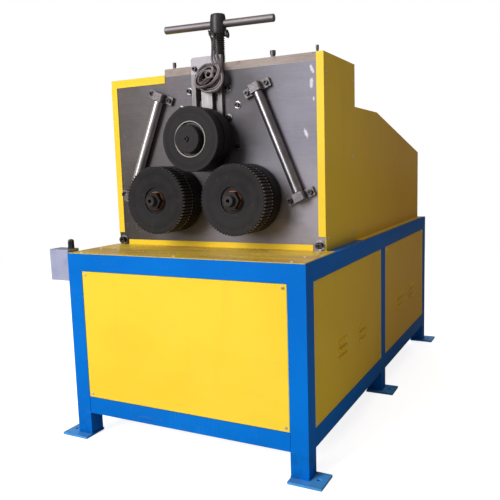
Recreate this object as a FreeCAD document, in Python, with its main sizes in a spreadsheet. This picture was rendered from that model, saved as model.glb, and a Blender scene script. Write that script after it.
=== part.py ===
import FreeCAD, Part
import Sketcher
import math
import os
import re

# Ring roller: a three-roll bending machine on a panelled tube frame.
# Millimetres. +Z is up and -Y is the working side. The origin is on the floor, at the
# centre of the foot plates. Every size below is one cell of the sheet.

SIZES = [
    ("base_width", 900, "base frame, left to right"),
    ("base_depth", 1700, "base frame, front to back"),
    ("base_height", 665, "floor to the top of the frame"),
    ("tube_side", 60, "square tube of the frame"),
    ("tube_wall", 4, "wall of the square tube"),
    ("rail_lift", 88, "floor to the underside of the bottom rails"),
    ("foot_width", 110, "foot plate, left to right"),
    ("foot_depth", 95, "foot plate, front to back"),
    ("foot_thickness", 8, "foot plate"),
    ("foot_overhang", 30, "end foot plates beyond the frame"),
    ("foot_hole", 14, "anchor hole in each foot plate"),
    ("foot_hole_out", 25, "anchor hole outside the frame's side"),
    ("tab_side", 34, "square tab behind each panel corner"),
    ("tab_thickness", 4, "panel tab"),
    ("panel_thickness", 2, "base panel sheet"),
    ("panel_gap", 1.5, "gap round a base panel"),
    ("panel_recess", 1, "base panel behind the face of the tubes"),
    ("screw_inset", 12, "corner screws inside a panel's edge"),
    ("screw_head", 10, "diameter of a sheet screw's head"),
    ("screw_rise", 3, "height of a sheet screw's head"),
    ("louver_length", 84, "ventilation louvre"),
    ("louver_radius", 8, "how far a louvre stands out"),
    ("louver_wall", 1.5, "louvre hood"),
    ("louver_pitch", 28, "between louvre rows"),
    ("louver_spread", 230, "between louvre columns"),
    ("louver_rise", 184, "middle louvre row above the bottom rails"),
    ("beam_height", 60, "cross beam under the deck"),
    ("beam_width", 60, "cross beam, front to back"),
    ("tray_thickness", 2, "deck tray sheet"),
    ("tray_inset", 3, "tray inside the frame's edge"),
    ("lip_height", 19, "upturned lip of the tray"),
    ("lip_margin", 44.5, "tray lip inside the side covers"),
    ("housing_offset", -8, "housing centre from the frame centre"),
    ("housing_inset", 55, "base width left free beside the housing"),
    ("sheet", 2, "cover sheet"),
    ("plate_setback", 270, "face plate behind the front of the base"),
    ("plate_thickness", 29, "face plate"),
    ("bearing_setback", 290, "bearing plate behind the face plate's front"),
    ("bearing_thickness", 28, "bearing plate"),
    ("cap_thickness", 26, "top plate"),
    ("cap_left", 180, "top plate, left of the screw"),
    ("left_drop", 20, "left cover below the top plate's top"),
    ("flange_width", 25, "front flange of a side cover"),
    ("flange_foot", 48, "front flange above the deck"),
    ("edge_flange", 28, "front flange of the left top cover"),
    ("foot_lip", 26, "foot flange of a side cover on the deck"),
    ("step_drop", 123, "hood's step below the top of the face plate"),
    ("step_end", 616, "end of the step behind the face plate's front"),
    ("slope_rise", 337, "low end of the slope above the deck"),
    ("hood_inset", 24, "back of the hood inside the base's rear edge"),
    ("roller_radius", 117.5, "lower roller"),
    ("roller_spacing", 305, "between the lower roller axes"),
    ("roller_rise", 176, "lower roller axes above the deck"),
    ("roller_front", 136, "roller faces in front of the face plate"),
    ("toothed_width", 64, "toothed rim of a lower roller"),
    ("profile_groove", 12, "groove of a lower roller"),
    ("groove_depth", 14, "roller grooves"),
    ("flange_rim", 52, "smooth rim of a lower roller"),
    ("tooth_count", 64, "teeth of a lower roller"),
    ("tooth_depth", 4, "teeth of a lower roller"),
    ("tooth_gap", 6.4, "gap between teeth at the rim"),
    ("face_dish", 4, "hollow of the roller faces"),
    ("hub_recess", 92, "recess in the lower roller's face"),
    ("hub_depth", 6, "recess in the lower roller's face"),
    ("shaft_diameter", 50, "roller shafts"),
    ("shaft_collar", 74, "collar behind a lower roller"),
    ("thread_diameter", 36, "threaded end of a lower shaft"),
    ("thread_length", 40, "threaded end of a lower shaft"),
    ("centre_hole", 13, "centre hole in the shaft ends"),
    ("washer_diameter", 62, "copper washer"),
    ("washer_thickness", 5, "copper washer"),
    ("nut_width", 55, "shaft nut across its flats"),
    ("nut_thickness", 20, "shaft nut"),
    ("running_gap", 0.06, "radial clearance of running fits"),
    ("gear_module", 5, "drive gears"),
    ("gear_teeth", 44, "gear on each lower shaft"),
    ("pinion_teeth", 17, "drive pinion"),
    ("gear_width", 55, "gear on each lower shaft"),
    ("pinion_width", 62, "drive pinion"),
    ("gear_setback", 185, "gears behind the face plate's front"),
    ("gear_web", 18, "web of a gear"),
    ("gear_hub", 90, "hub of a gear"),
    ("bearing_outer", 100, "barrel of a shaft bearing"),
    ("bearing_flange", 134, "flange of a shaft bearing"),
    ("bearing_rim", 14, "flange thickness of a shaft bearing"),
    ("reducer_radius", 138, "cycloidal reducer"),
    ("reducer_length", 250, "cycloidal reducer"),
    ("reducer_setback", 352, "reducer behind the face plate's front"),
    ("motor_radius", 98, "drive motor"),
    ("motor_length", 330, "drive motor"),
    ("motor_rim", 16, "flange of the motor beyond its frame"),
    ("motor_flange", 14, "flange of the motor"),
    ("cowl_length", 80, "fan cover of the motor"),
    ("terminal_width", 110, "terminal box of the motor"),
    ("terminal_depth", 120, "terminal box of the motor"),
    ("terminal_height", 56, "terminal box of the motor"),
    ("reducer_nose", 108, "front boss of the reducer"),
    ("reducer_waist", 8, "step between the reducer's rims"),
    ("reducer_foot", 22, "foot of the reducer"),
    ("reducer_rib", 20, "ribs over the reducer's foot"),
    ("pinion_reach", 60, "pinion shaft inside the reducer"),
    ("fin_count", 24, "cooling fins of the motor"),
    ("fin_depth", 9, "cooling fins of the motor"),
    ("upper_radius", 108, "upper roller"),
    ("upper_rise", 203, "upper roller axis above the lower ones at rest"),
    ("plate_rise", 232, "top of the face plate above the upper roller axis"),
    ("upper_front_rim", 38, "front disc of the upper roller"),
    ("upper_groove", 10, "groove of the upper roller"),
    ("upper_rear_rim", 50, "rear disc of the upper roller"),
    ("upper_bore", 110, "bearing seat of the upper roller"),
    ("bore_chamfer", 2.5, "bright edge of the bearing seat"),
    ("bearing_recess", 8, "upper bearings behind the roller's face"),
    ("cap_diameter", 94, "bearing cap"),
    ("cap_proud", 20, "bearing cap in front of the roller's face"),
    ("collar_diameter", 84, "axle collar behind the upper roller"),
    ("rail_lip", 16, "front lip of a guide rail"),
    ("rail_proud", 15, "guide rail lips in front of the face plate"),
    ("slide_width", 87, "slide between the guide rails"),
    ("rail_width", 86, "guide rail"),
    ("rail_drop", 96, "lower end of the guide rails below the upper roller axis"),
    ("rail_depth", 101, "guide rail behind the face plate"),
    ("tongue_depth", 25, "tongue of the slide"),
    ("tongue_width", 40, "tongue of the slide"),
    ("slide_rib", 42, "bright front rib of the slide"),
    ("rib_depth", 20, "front rib of the slide"),
    ("slide_drop", 62, "lower end of the slide below the upper roller axis"),
    ("slide_rise", 136, "top of the slide above the upper roller axis"),
    ("rib_rise", 32, "front rib above the top of the slide"),
    ("slide_clearance", 0.1, "between the slide and its rails"),
    ("bridge_rise", 25, "guide cap above the top plate"),
    ("bridge_drop", 5, "guide cap below the top of the face plate"),
    ("bridge_corner", 9, "rounded left corner of the guide cap"),
    ("screw_setback", 82, "feed screw behind the face plate's front"),
    ("screw_diameter", 44, "feed screw"),
    ("screw_journal", 34, "lower journal of the feed screw"),
    ("journal_length", 34, "lower journal of the feed screw"),
    ("screw_collar", 62, "thrust collar of the feed screw"),
    ("collar_thickness", 12, "thrust collar of the feed screw"),
    ("keeper_thickness", 10, "keeper plate over the thrust collar"),
    ("nut_barrel", 76, "barrel of the feed nut"),
    ("nut_flange", 84, "flange of the feed nut"),
    ("nut_rim", 14, "flange of the feed nut"),
    ("neck_length", 113, "feed screw between the top plate and its head"),
    ("head_height", 69, "screw head"),
    ("head_diameter", 58, "screw head, lower end"),
    ("head_crown", 48, "screw head, upper end"),
    ("bar_diameter", 27, "cross bar"),
    ("bar_length", 420, "cross bar"),
    ("bar_turn", 6, "degrees that the cross bar is turned from left to right at rest"),
    ("bar_height", 35, "cross bar above the head's underside"),
    ("guide_diameter", 34, "guide roller"),
    ("guide_bore", 15, "bore of a guide roller"),
    ("guide_top_out", 192, "upper guide brackets from the centre"),
    ("guide_top_rise", 161, "upper guide brackets above the upper roller axis"),
    ("guide_foot_out", 341, "lower guide brackets from the centre"),
    ("guide_foot_rise", 5, "lower guide brackets above the lower roller axes"),
    ("guide_stand", 20, "guide roller axis in front of the face plate"),
    ("bracket_width", 100, "guide bracket, over its ears"),
    ("bracket_block", 42, "raised block of a guide bracket"),
    ("bracket_depth", 28, "guide bracket along the roller"),
    ("ear_thickness", 14, "ears of a guide bracket"),
    ("block_rise", 40, "raised block of a guide bracket"),
    ("ear_screws", 76, "between a bracket's screws"),
    ("bolt_diameter", 10, "socket bolts"),
    ("bolt_head", 16, "head of a socket bolt"),
    ("bolt_socket", 8, "hexagon socket across its flats"),
    ("washer_outer", 24, "washer under a plate bolt"),
    ("washer_height", 2.5, "washer under a plate bolt"),
    ("bolt_grip", 20, "socket bolts below their heads"),
    ("corner_head", 24, "head of a corner bolt"),
    ("corner_inset", 20.5, "corner bolts inside the side covers"),
    ("stud_head", 19, "head of the middle bolt on the top plate"),
    ("stud_diameter", 13, "left bolt on the top plate"),
    ("pin_diameter", 10, "right pin on the top plate"),
    ("stud_rise", 22, "bolts and pin above the top plate"),
    ("corner_rise", 20, "corner bolts above the deck"),
    ("inner_column", 77, "inner rail bolts from the centre"),
    ("outer_column", 112, "outer rail bolts from the centre"),
    ("control_width", 84, "control box, out from the frame"),
    ("control_depth", 56, "control box, front to back"),
    ("control_height", 111, "control box"),
    ("control_rise", 12, "top of the control box above the deck"),
    ("control_wall", 2, "control box sheet"),
    ("knob_diameter", 24, "selector knob"),
    ("knob_height", 34, "selector knob"),
    ("knob_stem", 8, "selector knob's stem"),
    ("cable_diameter", 7.5, "spare cable"),
    ("hank_radius", 52, "coil of the spare cable"),
    ("hank_hole", 9, "hollow in the middle of the coil"),
    ("hank_thickness", 30, "coil, front to back"),
    ("hank_out", 27, "coil's centre right of the screw"),
    ("hank_rise", 200, "coil's centre above the upper roller axis"),
    ("hank_front", 42, "coil's middle in front of the face plate"),
]

# Places that several sub-parts share, as formulas of the sizes above.
FRONT = "(-base_depth/2)"
DECK = "base_height"
MIDDLE = "housing_offset"
PLATE = "(plate_setback - base_depth/2)"
PLATE_BACK = f"({PLATE} + plate_thickness)"
BEARING = f"({PLATE} + bearing_setback)"
BOX_BACK = f"({BEARING} + bearing_thickness)"
BOX_DEPTH = "(bearing_setback + bearing_thickness)"
HOOD_BACK = "(base_depth/2 - hood_inset)"
HOOD_DEPTH = "(base_depth - hood_inset - plate_setback)"
PANEL_FLOOR = "(rail_lift + tube_side)"
PANEL_CEILING = "(base_height - tube_side)"
LOWER_AXIS = "(base_height + roller_rise)"
UPPER_AXIS = f"({LOWER_AXIS} + upper_rise)"
PLATE_TOP = f"({UPPER_AXIS} + plate_rise)"
CAP_TOP = f"({PLATE_TOP} + cap_thickness)"
CAP_MIDDLE = f"({PLATE_TOP} + cap_thickness/2)"
LEFT_TOP = f"({CAP_TOP} - left_drop)"
STEP = f"({PLATE_TOP} - step_drop)"
SLOPE = "(base_height + slope_rise)"
COVER_OUT = "((base_width - housing_inset)/2)"
INSIDE = f"({COVER_OUT} - sheet)"
PLATE_OUT = f"({INSIDE} - 1)"
ROLLER_FACE = f"({PLATE} - roller_front)"
RAIL_FRONT = f"({PLATE} - rail_proud)"
RAIL_BACK = f"({PLATE_BACK} + rail_depth)"
RAIL_BOTTOM = f"({UPPER_AXIS} - rail_drop)"
SLIDE_BOTTOM = f"({UPPER_AXIS} - slide_drop)"
SLIDE_TOP = f"({UPPER_AXIS} + slide_rise)"
BRIDGE_BOTTOM = f"({PLATE_TOP} - bridge_drop)"
BRIDGE_TOP = f"({CAP_TOP} + bridge_rise)"
SCREW_Y = f"({PLATE} + screw_setback)"
HEAD_BOTTOM = f"({CAP_TOP} + neck_length)"
TENON_TOP = f"({HEAD_BOTTOM} + bar_height - bar_diameter/2 - 1)"
COLLAR_FLOOR = f"({SLIDE_TOP} - collar_thickness)"
GEAR_Y = f"({PLATE} + gear_setback)"
REDUCER_Y = f"({PLATE} + reducer_setback)"
MOTOR_Y = f"({REDUCER_Y} + reducer_length)"
UPPER_WIDTH = "(upper_front_rim + upper_groove + upper_rear_rim)"
GUIDE_Y = f"({PLATE} - guide_stand)"
GUIDE_TOP = f"({UPPER_AXIS} + guide_top_rise)"
GUIDE_FOOT = f"({LOWER_AXIS} + guide_foot_rise)"
HANK_Y = f"({PLATE} - hank_front)"
CONTROL_TOP = "(base_height + control_rise)"
ALIASES = {alias for alias, number, note in SIZES}
X_AXIS = FreeCAD.Vector(1, 0, 0)
Y_AXIS = FreeCAD.Vector(0, 1, 0)
Z_AXIS = FreeCAD.Vector(0, 0, 1)
ORIGIN = FreeCAD.Vector(0, 0, 0)

doc = FreeCAD.newDocument("RingRoller")
sheet = doc.addObject("Spreadsheet::Sheet", "Sizes")
for row, (alias, number, note) in enumerate(SIZES, start=1):
    sheet.set(f"A{row}", note)
    sheet.set(f"B{row}", str(number))
    sheet.setAlias(f"B{row}", alias)
doc.recompute()

subparts = []


# ---------------------------------------------------------------- helpers

def tie(formula):
    """A formula in words as an expression on the sheet's cells."""
    def cell(word):
        return f"Sizes.{word.group()}" if word.group() in ALIASES else word.group()
    return re.sub(r"[a-z][a-z_0-9]*", cell, str(formula))


def amount(formula):
    """The formula's present value."""
    return float(sheet.evalExpression(tie(formula)))


def bind(thing, **formulas):
    for name, formula in formulas.items():
        thing.setExpression(name, tie(formula))


def put(thing, at, axis=Z_AXIS, turn=0):
    """Places a thing at three formulas, turned by a number or a formula of degrees."""
    angle = turn if isinstance(turn, (int, float)) else amount(turn)
    thing.Placement = FreeCAD.Placement(ORIGIN, FreeCAD.Rotation(axis, angle))
    for letter, formula in zip("xyz", at):
        thing.setExpression(f"Placement.Base.{letter}", tie(formula))
    if not isinstance(turn, (int, float)):
        thing.setExpression("Placement.Rotation.Angle", f"({tie(turn)}) * 1 deg")
    return thing


def subpart(thing, label):
    """Marks a thing as one of the sub-parts, under the name that a fitter would use."""
    thing.Label = label
    subparts.append(thing)
    return thing


def box(size, at, axis=Z_AXIS, turn=0):
    thing = doc.addObject("Part::Box", "box")
    bind(thing, Length=size[0], Width=size[1], Height=size[2])
    return put(thing, at, axis, turn)


def cylinder(radius, length, at, axis=Z_AXIS, turn=0, angle=360):
    thing = doc.addObject("Part::Cylinder", "cylinder")
    bind(thing, Radius=radius, Height=length)
    thing.Angle = angle
    return put(thing, at, axis, turn)


def cut(base, *tools):
    for tool in tools:
        result = doc.addObject("Part::Cut", "cut")
        result.Base = base
        result.Tool = tool
        base = result
    return base


def join(*things):
    result = doc.addObject("Part::MultiFuse", "joined")
    result.Shapes = list(things)
    return result


def group(things):
    result = doc.addObject("Part::Compound", "group")
    result.Links = list(things)
    return result


def copy_at(thing, at, axis=Z_AXIS, turn=0):
    link = doc.addObject("App::Link", "copy")
    link.LinkedObject = thing
    link.LinkTransform = False
    return put(link, at, axis, turn)


def body(name):
    return doc.addObject("PartDesign::Body", name)


def datum(part, role):
    return next(item for item in part.Origin.OriginFeatures if item.Role == role)


def sketch_on(part, plane, lift="0"):
    sketch = part.newObject("Sketcher::SketchObject", "profile")
    sketch.AttachmentSupport = [(datum(part, plane), "")]
    sketch.MapMode = "FlatFace"
    sketch.setExpression("AttachmentOffset.Base.z", tie(lift))
    return sketch


def dimension(sketch, kind, *where):
    """Adds one dimension; the last of its arguments is the formula."""
    formula = where[-1]
    value = amount(formula)
    index = sketch.addConstraint(Sketcher.Constraint(kind, *where[:-1], value))
    sketch.setExpression(f"Constraints[{index}]", tie(formula))


def outline(sketch, corners):
    """A closed straight-sided outline, each corner held from the sketch's origin."""
    spots = [FreeCAD.Vector(amount(x), amount(y), 0) for x, y in corners]
    first = sketch.GeometryCount
    count = len(spots)
    for here, there in zip(spots, spots[1:] + spots[:1]):
        sketch.addGeometry(Part.LineSegment(here, there))
    for n in range(count):
        after = first + (n + 1) % count
        sketch.addConstraint(Sketcher.Constraint("Coincident", first + n, 2, after, 1))
    for n, (x, y) in enumerate(corners):
        dimension(sketch, "DistanceX", -1, 1, first + n, 1, x)
        dimension(sketch, "DistanceY", -1, 1, first + n, 1, y)
    return sketch


def circle(sketch, x, y, diameter):
    centre = FreeCAD.Vector(amount(x), amount(y), 0)
    index = sketch.addGeometry(Part.Circle(centre, Z_AXIS, amount(diameter) / 2))
    dimension(sketch, "DistanceX", -1, 1, index, 3, x)
    dimension(sketch, "DistanceY", -1, 1, index, 3, y)
    dimension(sketch, "Diameter", index, diameter)
    return sketch


def pad(part, sketch, length, reverse=False, both=False):
    feature = part.newObject("PartDesign::Pad", "pad")
    feature.Profile = sketch
    bind(feature, Length=length)
    feature.Reversed = reverse
    feature.Midplane = both
    return feature


def pocket(part, sketch, length, reverse=False, both=False):
    """Cuts a pocket and makes sure that it takes material away."""
    doc.recompute()
    before = part.Tip.Shape.Volume
    feature = part.newObject("PartDesign::Pocket", "pocket")
    feature.Profile = sketch
    feature.Type = 0
    bind(feature, Length=length)
    feature.Reversed = reverse
    feature.Midplane = both
    doc.recompute()
    if feature.Shape.Volume > before - 1:
        raise ValueError(f"{part.Name}: a pocket takes nothing away")
    return feature


def revolve(part, sketch, axis="V_Axis"):
    feature = part.newObject("PartDesign::Revolution", "revolution")
    feature.Profile = sketch
    feature.ReferenceAxis = (sketch, [axis])
    feature.Angle = 360
    return feature


def polar(part, feature, axis, count):
    pattern = part.newObject("PartDesign::PolarPattern", "pattern")
    pattern.Originals = [feature]
    pattern.Axis = (datum(part, axis), [""])
    pattern.Angle = 360
    pattern.setExpression("Occurrences", tie(count))
    part.Tip = pattern
    return pattern


def turned(name, corners, at, plane="XY_Plane", axis=Z_AXIS, turn=0):
    """A turned piece: radius and length along its axis, Y on XY_Plane and Z on XZ_Plane."""
    part = body(name)
    revolve(part, outline(sketch_on(part, plane), corners))
    return put(part, at, axis, turn)


def ring(inner, outer, start, end):
    """The half section of a plain ring."""
    return [(inner, start), (outer, start), (outer, end), (inner, end)]


# ---------------------------------------------------------------- base frame

def mitred_rail(length, at, turn):
    """A square tube laid along X with both ends cut at 45 degrees, long side in front."""
    part = body("mitred_rail")
    side = "tube_side"
    wall = "tube_wall"
    outer = [("0", "0"), (length, "0"), (f"{length} - {side}", side), (side, side)]
    pad(part, outline(sketch_on(part, "XY_Plane"), outer), side)
    far = f"({side} - {wall})"
    inner = [(wall, wall), (f"{length} - {wall}", wall), (f"{length} - {far}", far), (far, far)]
    hollow = outline(sketch_on(part, "XY_Plane", wall), inner)
    pocket(part, hollow, f"{side} - 2*{wall}", reverse=True)
    return put(part, at, Z_AXIS, turn)


def square_tube(length, at, axis=Z_AXIS, turn=0, width="tube_side", height="tube_side"):
    """A square tube laid along X, open at both ends."""
    outer = box((length, width, height), ("0", "0", "0"))
    bore = (length, f"{width} - 2*tube_wall", f"{height} - 2*tube_wall")
    inner = box(bore, ("0", "tube_wall", "tube_wall"))
    return put(cut(outer, inner), at, axis, turn)


def tab(x, y, low, lies_along):
    """A small plate welded in a frame corner, behind a panel."""
    size = {"x": ("tab_side", "tab_thickness", "tab_side"),
            "y": ("tab_thickness", "tab_side", "tab_side")}[lies_along]
    return box(size, (x, y, low))


def post(x, y, tabs):
    """An upright from a foot plate to the top rail, with the tabs that carry the panels."""
    height = f"({PANEL_CEILING} - foot_thickness)"
    pieces = [square_tube(height, (f"{x} + tube_side", y, "foot_thickness"), Y_AXIS, -90)]
    behind = "(panel_recess + panel_thickness)"
    for low in (PANEL_FLOOR, f"({PANEL_CEILING} - tab_side)"):
        for kind, side in tabs:
            if kind == "end":
                near = f"({FRONT} + {behind})"
                if side > 0:
                    near = f"(-{FRONT} - {behind} - tab_thickness)"
                inward = f"({x} + tube_side)" if x.startswith("(-") else f"({x} - tab_side)"
                pieces.append(tab(inward, near, low, "x"))
            else:
                outer = f"(base_width/2 - {behind})"
                across = f"(-{outer})" if x.startswith("(-") else f"({outer} - tab_thickness)"
                along = f"({y} + tube_side)" if side > 0 else f"({y} - tab_side)"
                pieces.append(tab(across, along, low, "y"))
    return join(*pieces)


def base_frame():
    left = "(-base_width/2)"
    right = "(base_width/2 - tube_side)"
    back = f"(-{FRONT} - tube_side)"
    low = "(base_height - tube_side)"
    front = mitred_rail("base_width", (left, FRONT, low), 0)
    rear = mitred_rail("base_width", ("base_width/2", f"-{FRONT}", low), 180)
    subpart(group([front, rear]), "top_rails_across")
    sides = [mitred_rail("base_depth", ("base_width/2", FRONT, low), 90),
             mitred_rail("base_depth", (left, f"-{FRONT}", low), -90)]
    subpart(group(sides), "top_rails_along")

    posts = []
    for x in (left, right):
        posts.append(post(x, FRONT, [("end", -1), ("side", 1)]))
        posts.append(post(x, "(-tube_side/2)", [("side", 1), ("side", -1)]))
        posts.append(post(x, back, [("end", 1), ("side", -1)]))
    subpart(group(posts), "frame_posts")

    inner_width = "(base_width - 2*tube_side)"
    inner_depth = "(base_depth/2 - 1.5*tube_side)"
    rails = [square_tube(inner_width, (f"{left} + tube_side", y, "rail_lift")) for y in (FRONT, back)]
    for x in (f"{left} + tube_side", "base_width/2"):
        for y in (f"{FRONT} + tube_side", "tube_side/2"):
            rails.append(square_tube(inner_depth, (x, y, "rail_lift"), Z_AXIS, 90))
    subpart(group(rails), "bottom_rails")

    beams = []
    for y in (PLATE, f"({BOX_BACK} - beam_width)", f"({MOTOR_Y} - beam_width - 20)"):
        at = (f"{left} + tube_side", y, f"{DECK} - beam_height")
        beams.append(square_tube(inner_width, at, width="beam_width", height="beam_height"))
    subpart(group(beams), "deck_beams")


def foot_plates():
    """Six plates under the posts; each reaches out sideways and is drilled for an anchor."""
    plates = []
    inner = "(base_width/2 - tube_side)"
    ends = f"({FRONT} - foot_overhang)"
    for y in (ends, "(-foot_depth/2)", f"(-{ends} - foot_depth)"):
        for x in (f"(-{inner} - foot_width)", inner):
            plate = box(("foot_width", "foot_depth", "foot_thickness"), (x, y, "0"))
            out = "(base_width/2 + foot_hole_out)"
            hole_x = f"(-{out})" if x.startswith("(-") else out
            hole = cylinder("foot_hole/2", "foot_thickness", (hole_x, f"{y} + foot_depth/2", "0"))
            plates.append(cut(plate, hole))
    subpart(group(plates), "foot_plates")


# ---------------------------------------------------------------- panels and tray

def flat_panel(name, width, at, turn):
    """A plain panel, made along X with its outer face in front."""
    height = f"({PANEL_CEILING} - {PANEL_FLOOR} - 2*panel_gap)"
    panel = box((width, "panel_thickness", height), ("0", "0", "0"))
    return subpart(put(panel, at, Z_AXIS, turn), name)


def louvred_panel(name, width, at, turn):
    """A panel with two columns of pressed louvres, whose mouths look down."""
    height = f"({PANEL_CEILING} - {PANEL_FLOOR} - 2*panel_gap)"
    panel = box((width, "panel_thickness", height), ("0", "0", "0"))
    slots = []
    hoods = []
    reach = "(louver_radius - louver_wall)"
    for side in ("-", "+"):
        start = f"({width}/2 {side} louver_spread/2 - louver_length/2)"
        for row in (-1, 0, 1):
            low = f"(louver_rise - panel_gap + {row}*louver_pitch - louver_radius/2)"
            inner_start = f"({start} + louver_wall)"
            inner_length = "(louver_length - 2*louver_wall)"
            slots.append(box((inner_length, "panel_thickness", reach), (inner_start, "0", low)))
            hood = cylinder("louver_radius", "louver_length", (start, "0", low), Y_AXIS, 90, angle=90)
            bore = cylinder(reach, inner_length, (inner_start, "0", low), Y_AXIS, 90, angle=90)
            for curved in (hood, bore):
                quarter = FreeCAD.Rotation(Y_AXIS, 90).multiply(FreeCAD.Rotation(Z_AXIS, 180))
                base = curved.Placement.Base
                curved.Placement = FreeCAD.Placement(base, quarter)
            hoods.append(cut(hood, bore))
    pressed = join(cut(panel, *slots), *hoods)
    return subpart(put(pressed, at, Z_AXIS, turn), name)


def panels():
    level = f"({PANEL_FLOOR} + panel_gap)"
    end_width = "(base_width - 2*tube_side - 2*panel_gap)"
    end_x = "(base_width/2 - tube_side - panel_gap)"
    side_width = "(base_depth/2 - 1.5*tube_side - 2*panel_gap)"
    near = f"({FRONT} + tube_side + panel_gap)"
    half = "(tube_side/2 + panel_gap)"
    out = "(base_width/2 - panel_recess)"
    face = f"({FRONT} + panel_recess)"
    flat_panel("front_panel", end_width, (f"-{end_x}", face, level), 0)
    flat_panel("rear_panel", end_width, (end_x, f"-{face}", level), 180)
    louvred_panel("right_front_panel", side_width, (out, near, level), 90)
    louvred_panel("right_rear_panel", side_width, (out, half, level), 90)
    louvred_panel("left_front_panel", side_width, (f"-{out}", f"-{half}", level), -90)
    louvred_panel("left_rear_panel", side_width, (f"-{out}", f"-{near}", level), -90)


def tray():
    """The sheet that covers the deck in front of the face plate, turned up along it."""
    part = body("deck_tray")
    back = "(plate_setback - tray_inset)"
    rise = "(tray_thickness + lip_height)"
    flat = [("-base_width/2 + tray_inset", "0"), ("base_width/2 - tray_inset", "0"),
            ("base_width/2 - tray_inset", back), ("-base_width/2 + tray_inset", back)]
    pad(part, outline(sketch_on(part, "XY_Plane"), flat), "tray_thickness")
    reach = f"({COVER_OUT} - lip_margin)"
    lip = [(f"{MIDDLE} - {reach}", f"{back} - tray_thickness"),
           (f"{MIDDLE} + {reach}", f"{back} - tray_thickness"),
           (f"{MIDDLE} + {reach}", back), (f"{MIDDLE} - {reach}", back)]
    pad(part, outline(sketch_on(part, "XY_Plane"), lip), rise)
    put(part, ("0", f"{FRONT} + tray_inset", DECK))
    subpart(part, "deck_tray")


# ---------------------------------------------------------------- plates and covers

def face_plate():
    """The thick front plate: slide window, two bearing bores and the tapped holes."""
    part = body("face_plate")
    edge = PLATE_OUT
    window = "(slide_width/2 + rail_lip + slide_clearance)"
    floor = f"({RAIL_BOTTOM} - 6)"
    shape = [(f"-{edge}", DECK), (edge, DECK), (edge, PLATE_TOP), (window, PLATE_TOP),
             (window, floor), (f"-{window}", floor), (f"-{window}", PLATE_TOP), (f"-{edge}", PLATE_TOP)]
    pad(part, outline(sketch_on(part, "XZ_Plane"), shape), "plate_thickness", reverse=True)
    bores = sketch_on(part, "XZ_Plane")
    for side in ("-", ""):
        circle(bores, f"{side}roller_spacing/2", LOWER_AXIS, "bearing_outer")
    pocket(part, bores, "plate_thickness")
    holes = sketch_on(part, "XZ_Plane")
    for x, z in rail_bolt_places():
        circle(holes, x, z, "bolt_diameter + 1")
    pocket(part, holes, "plate_thickness")
    put(part, (MIDDLE, PLATE, "0"))
    subpart(part, "face_plate")


def bearing_plate():
    """The second plate, behind the gears; it carries the rear ends of the shafts."""
    part = body("bearing_plate")
    edge = PLATE_OUT
    shape = [(f"-{edge}", DECK), (edge, DECK), (edge, PLATE_TOP), (f"-{edge}", PLATE_TOP)]
    pad(part, outline(sketch_on(part, "XZ_Plane"), shape), "bearing_thickness", reverse=True)
    bores = sketch_on(part, "XZ_Plane")
    for x in ("-roller_spacing/2", "0", "roller_spacing/2"):
        circle(bores, x, LOWER_AXIS, "bearing_outer")
    pocket(part, bores, "bearing_thickness")
    put(part, (MIDDLE, BEARING, "0"))
    subpart(part, "bearing_plate")


def top_plate():
    """The thick plate across both uprights; the feed nut sits in its bore."""
    part = body("top_plate")
    shape = [("-cap_left", "0"), (PLATE_OUT, "0"), (PLATE_OUT, BOX_DEPTH), ("-cap_left", BOX_DEPTH)]
    pad(part, outline(sketch_on(part, "XY_Plane"), shape), "cap_thickness")
    bore = circle(sketch_on(part, "XY_Plane"), "0", "screw_setback", "nut_barrel")
    pocket(part, bore, "cap_thickness", reverse=True)
    put(part, (MIDDLE, PLATE, PLATE_TOP))
    subpart(part, "top_plate")


def side_cover(name, side, top, flange_top):
    """A side sheet with a front flange over the plate and a foot flange on the deck."""
    part = body(name)
    depth = f"({BOX_DEPTH} + sheet)"
    shape = [("0", DECK), ("0", top), (depth, top), (depth, STEP),
             ("step_end", STEP), (HOOD_DEPTH, SLOPE), (HOOD_DEPTH, DECK)]
    right = side > 0
    pad(part, outline(sketch_on(part, "YZ_Plane"), shape), "sheet", reverse=right)
    low = f"({DECK} + flange_foot)"
    flange = [("-sheet", low), ("0", low), ("0", flange_top), ("-sheet", flange_top)]
    pad(part, outline(sketch_on(part, "YZ_Plane"), flange), "flange_width", reverse=right)
    lift = f"({DECK} + sheet)"
    foot = [(depth, DECK), (HOOD_DEPTH, DECK), (HOOD_DEPTH, lift), (depth, lift)]
    pad(part, outline(sketch_on(part, "YZ_Plane"), foot), "foot_lip", reverse=not right)
    sign = "+" if right else "-"
    put(part, (f"{MIDDLE} {sign} {COVER_OUT}", PLATE, "0"))
    subpart(part, name)


def folded_sheet(name, line, width, at):
    """A sheet bent along the corners of a line in the YZ plane; line gives both its faces."""
    part = body(name)
    pad(part, outline(sketch_on(part, "YZ_Plane"), line), width)
    put(part, at)
    subpart(part, name)


def hood():
    """Rear hood: back of the upper box, step, slope and rear wall, from one folded sheet."""
    wall = BOX_DEPTH
    lower = f"({LEFT_TOP} - sheet)"
    line = [(wall, lower), (wall, f"{STEP} - sheet"), ("step_end", f"{STEP} - sheet"),
            (f"{HOOD_DEPTH} - sheet", f"{SLOPE} - sheet"), (f"{HOOD_DEPTH} - sheet", DECK),
            (HOOD_DEPTH, DECK), (HOOD_DEPTH, SLOPE), ("step_end", STEP),
            (f"{wall} + sheet", STEP), (f"{wall} + sheet", lower)]
    folded_sheet("rear_hood", line, f"(2*{INSIDE})", (f"{MIDDLE} - {INSIDE}", PLATE, "0"))
    back = f"({BOX_DEPTH} + sheet)"
    flange = f"({LEFT_TOP} - edge_flange)"
    line = [("-sheet", flange), ("0", flange), ("0", lower), (back, lower),
            (back, LEFT_TOP), ("-sheet", LEFT_TOP)]
    width = f"({INSIDE} - cap_left)"
    folded_sheet("left_top_cover", line, width, (f"{MIDDLE} - {INSIDE}", PLATE, "0"))


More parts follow.
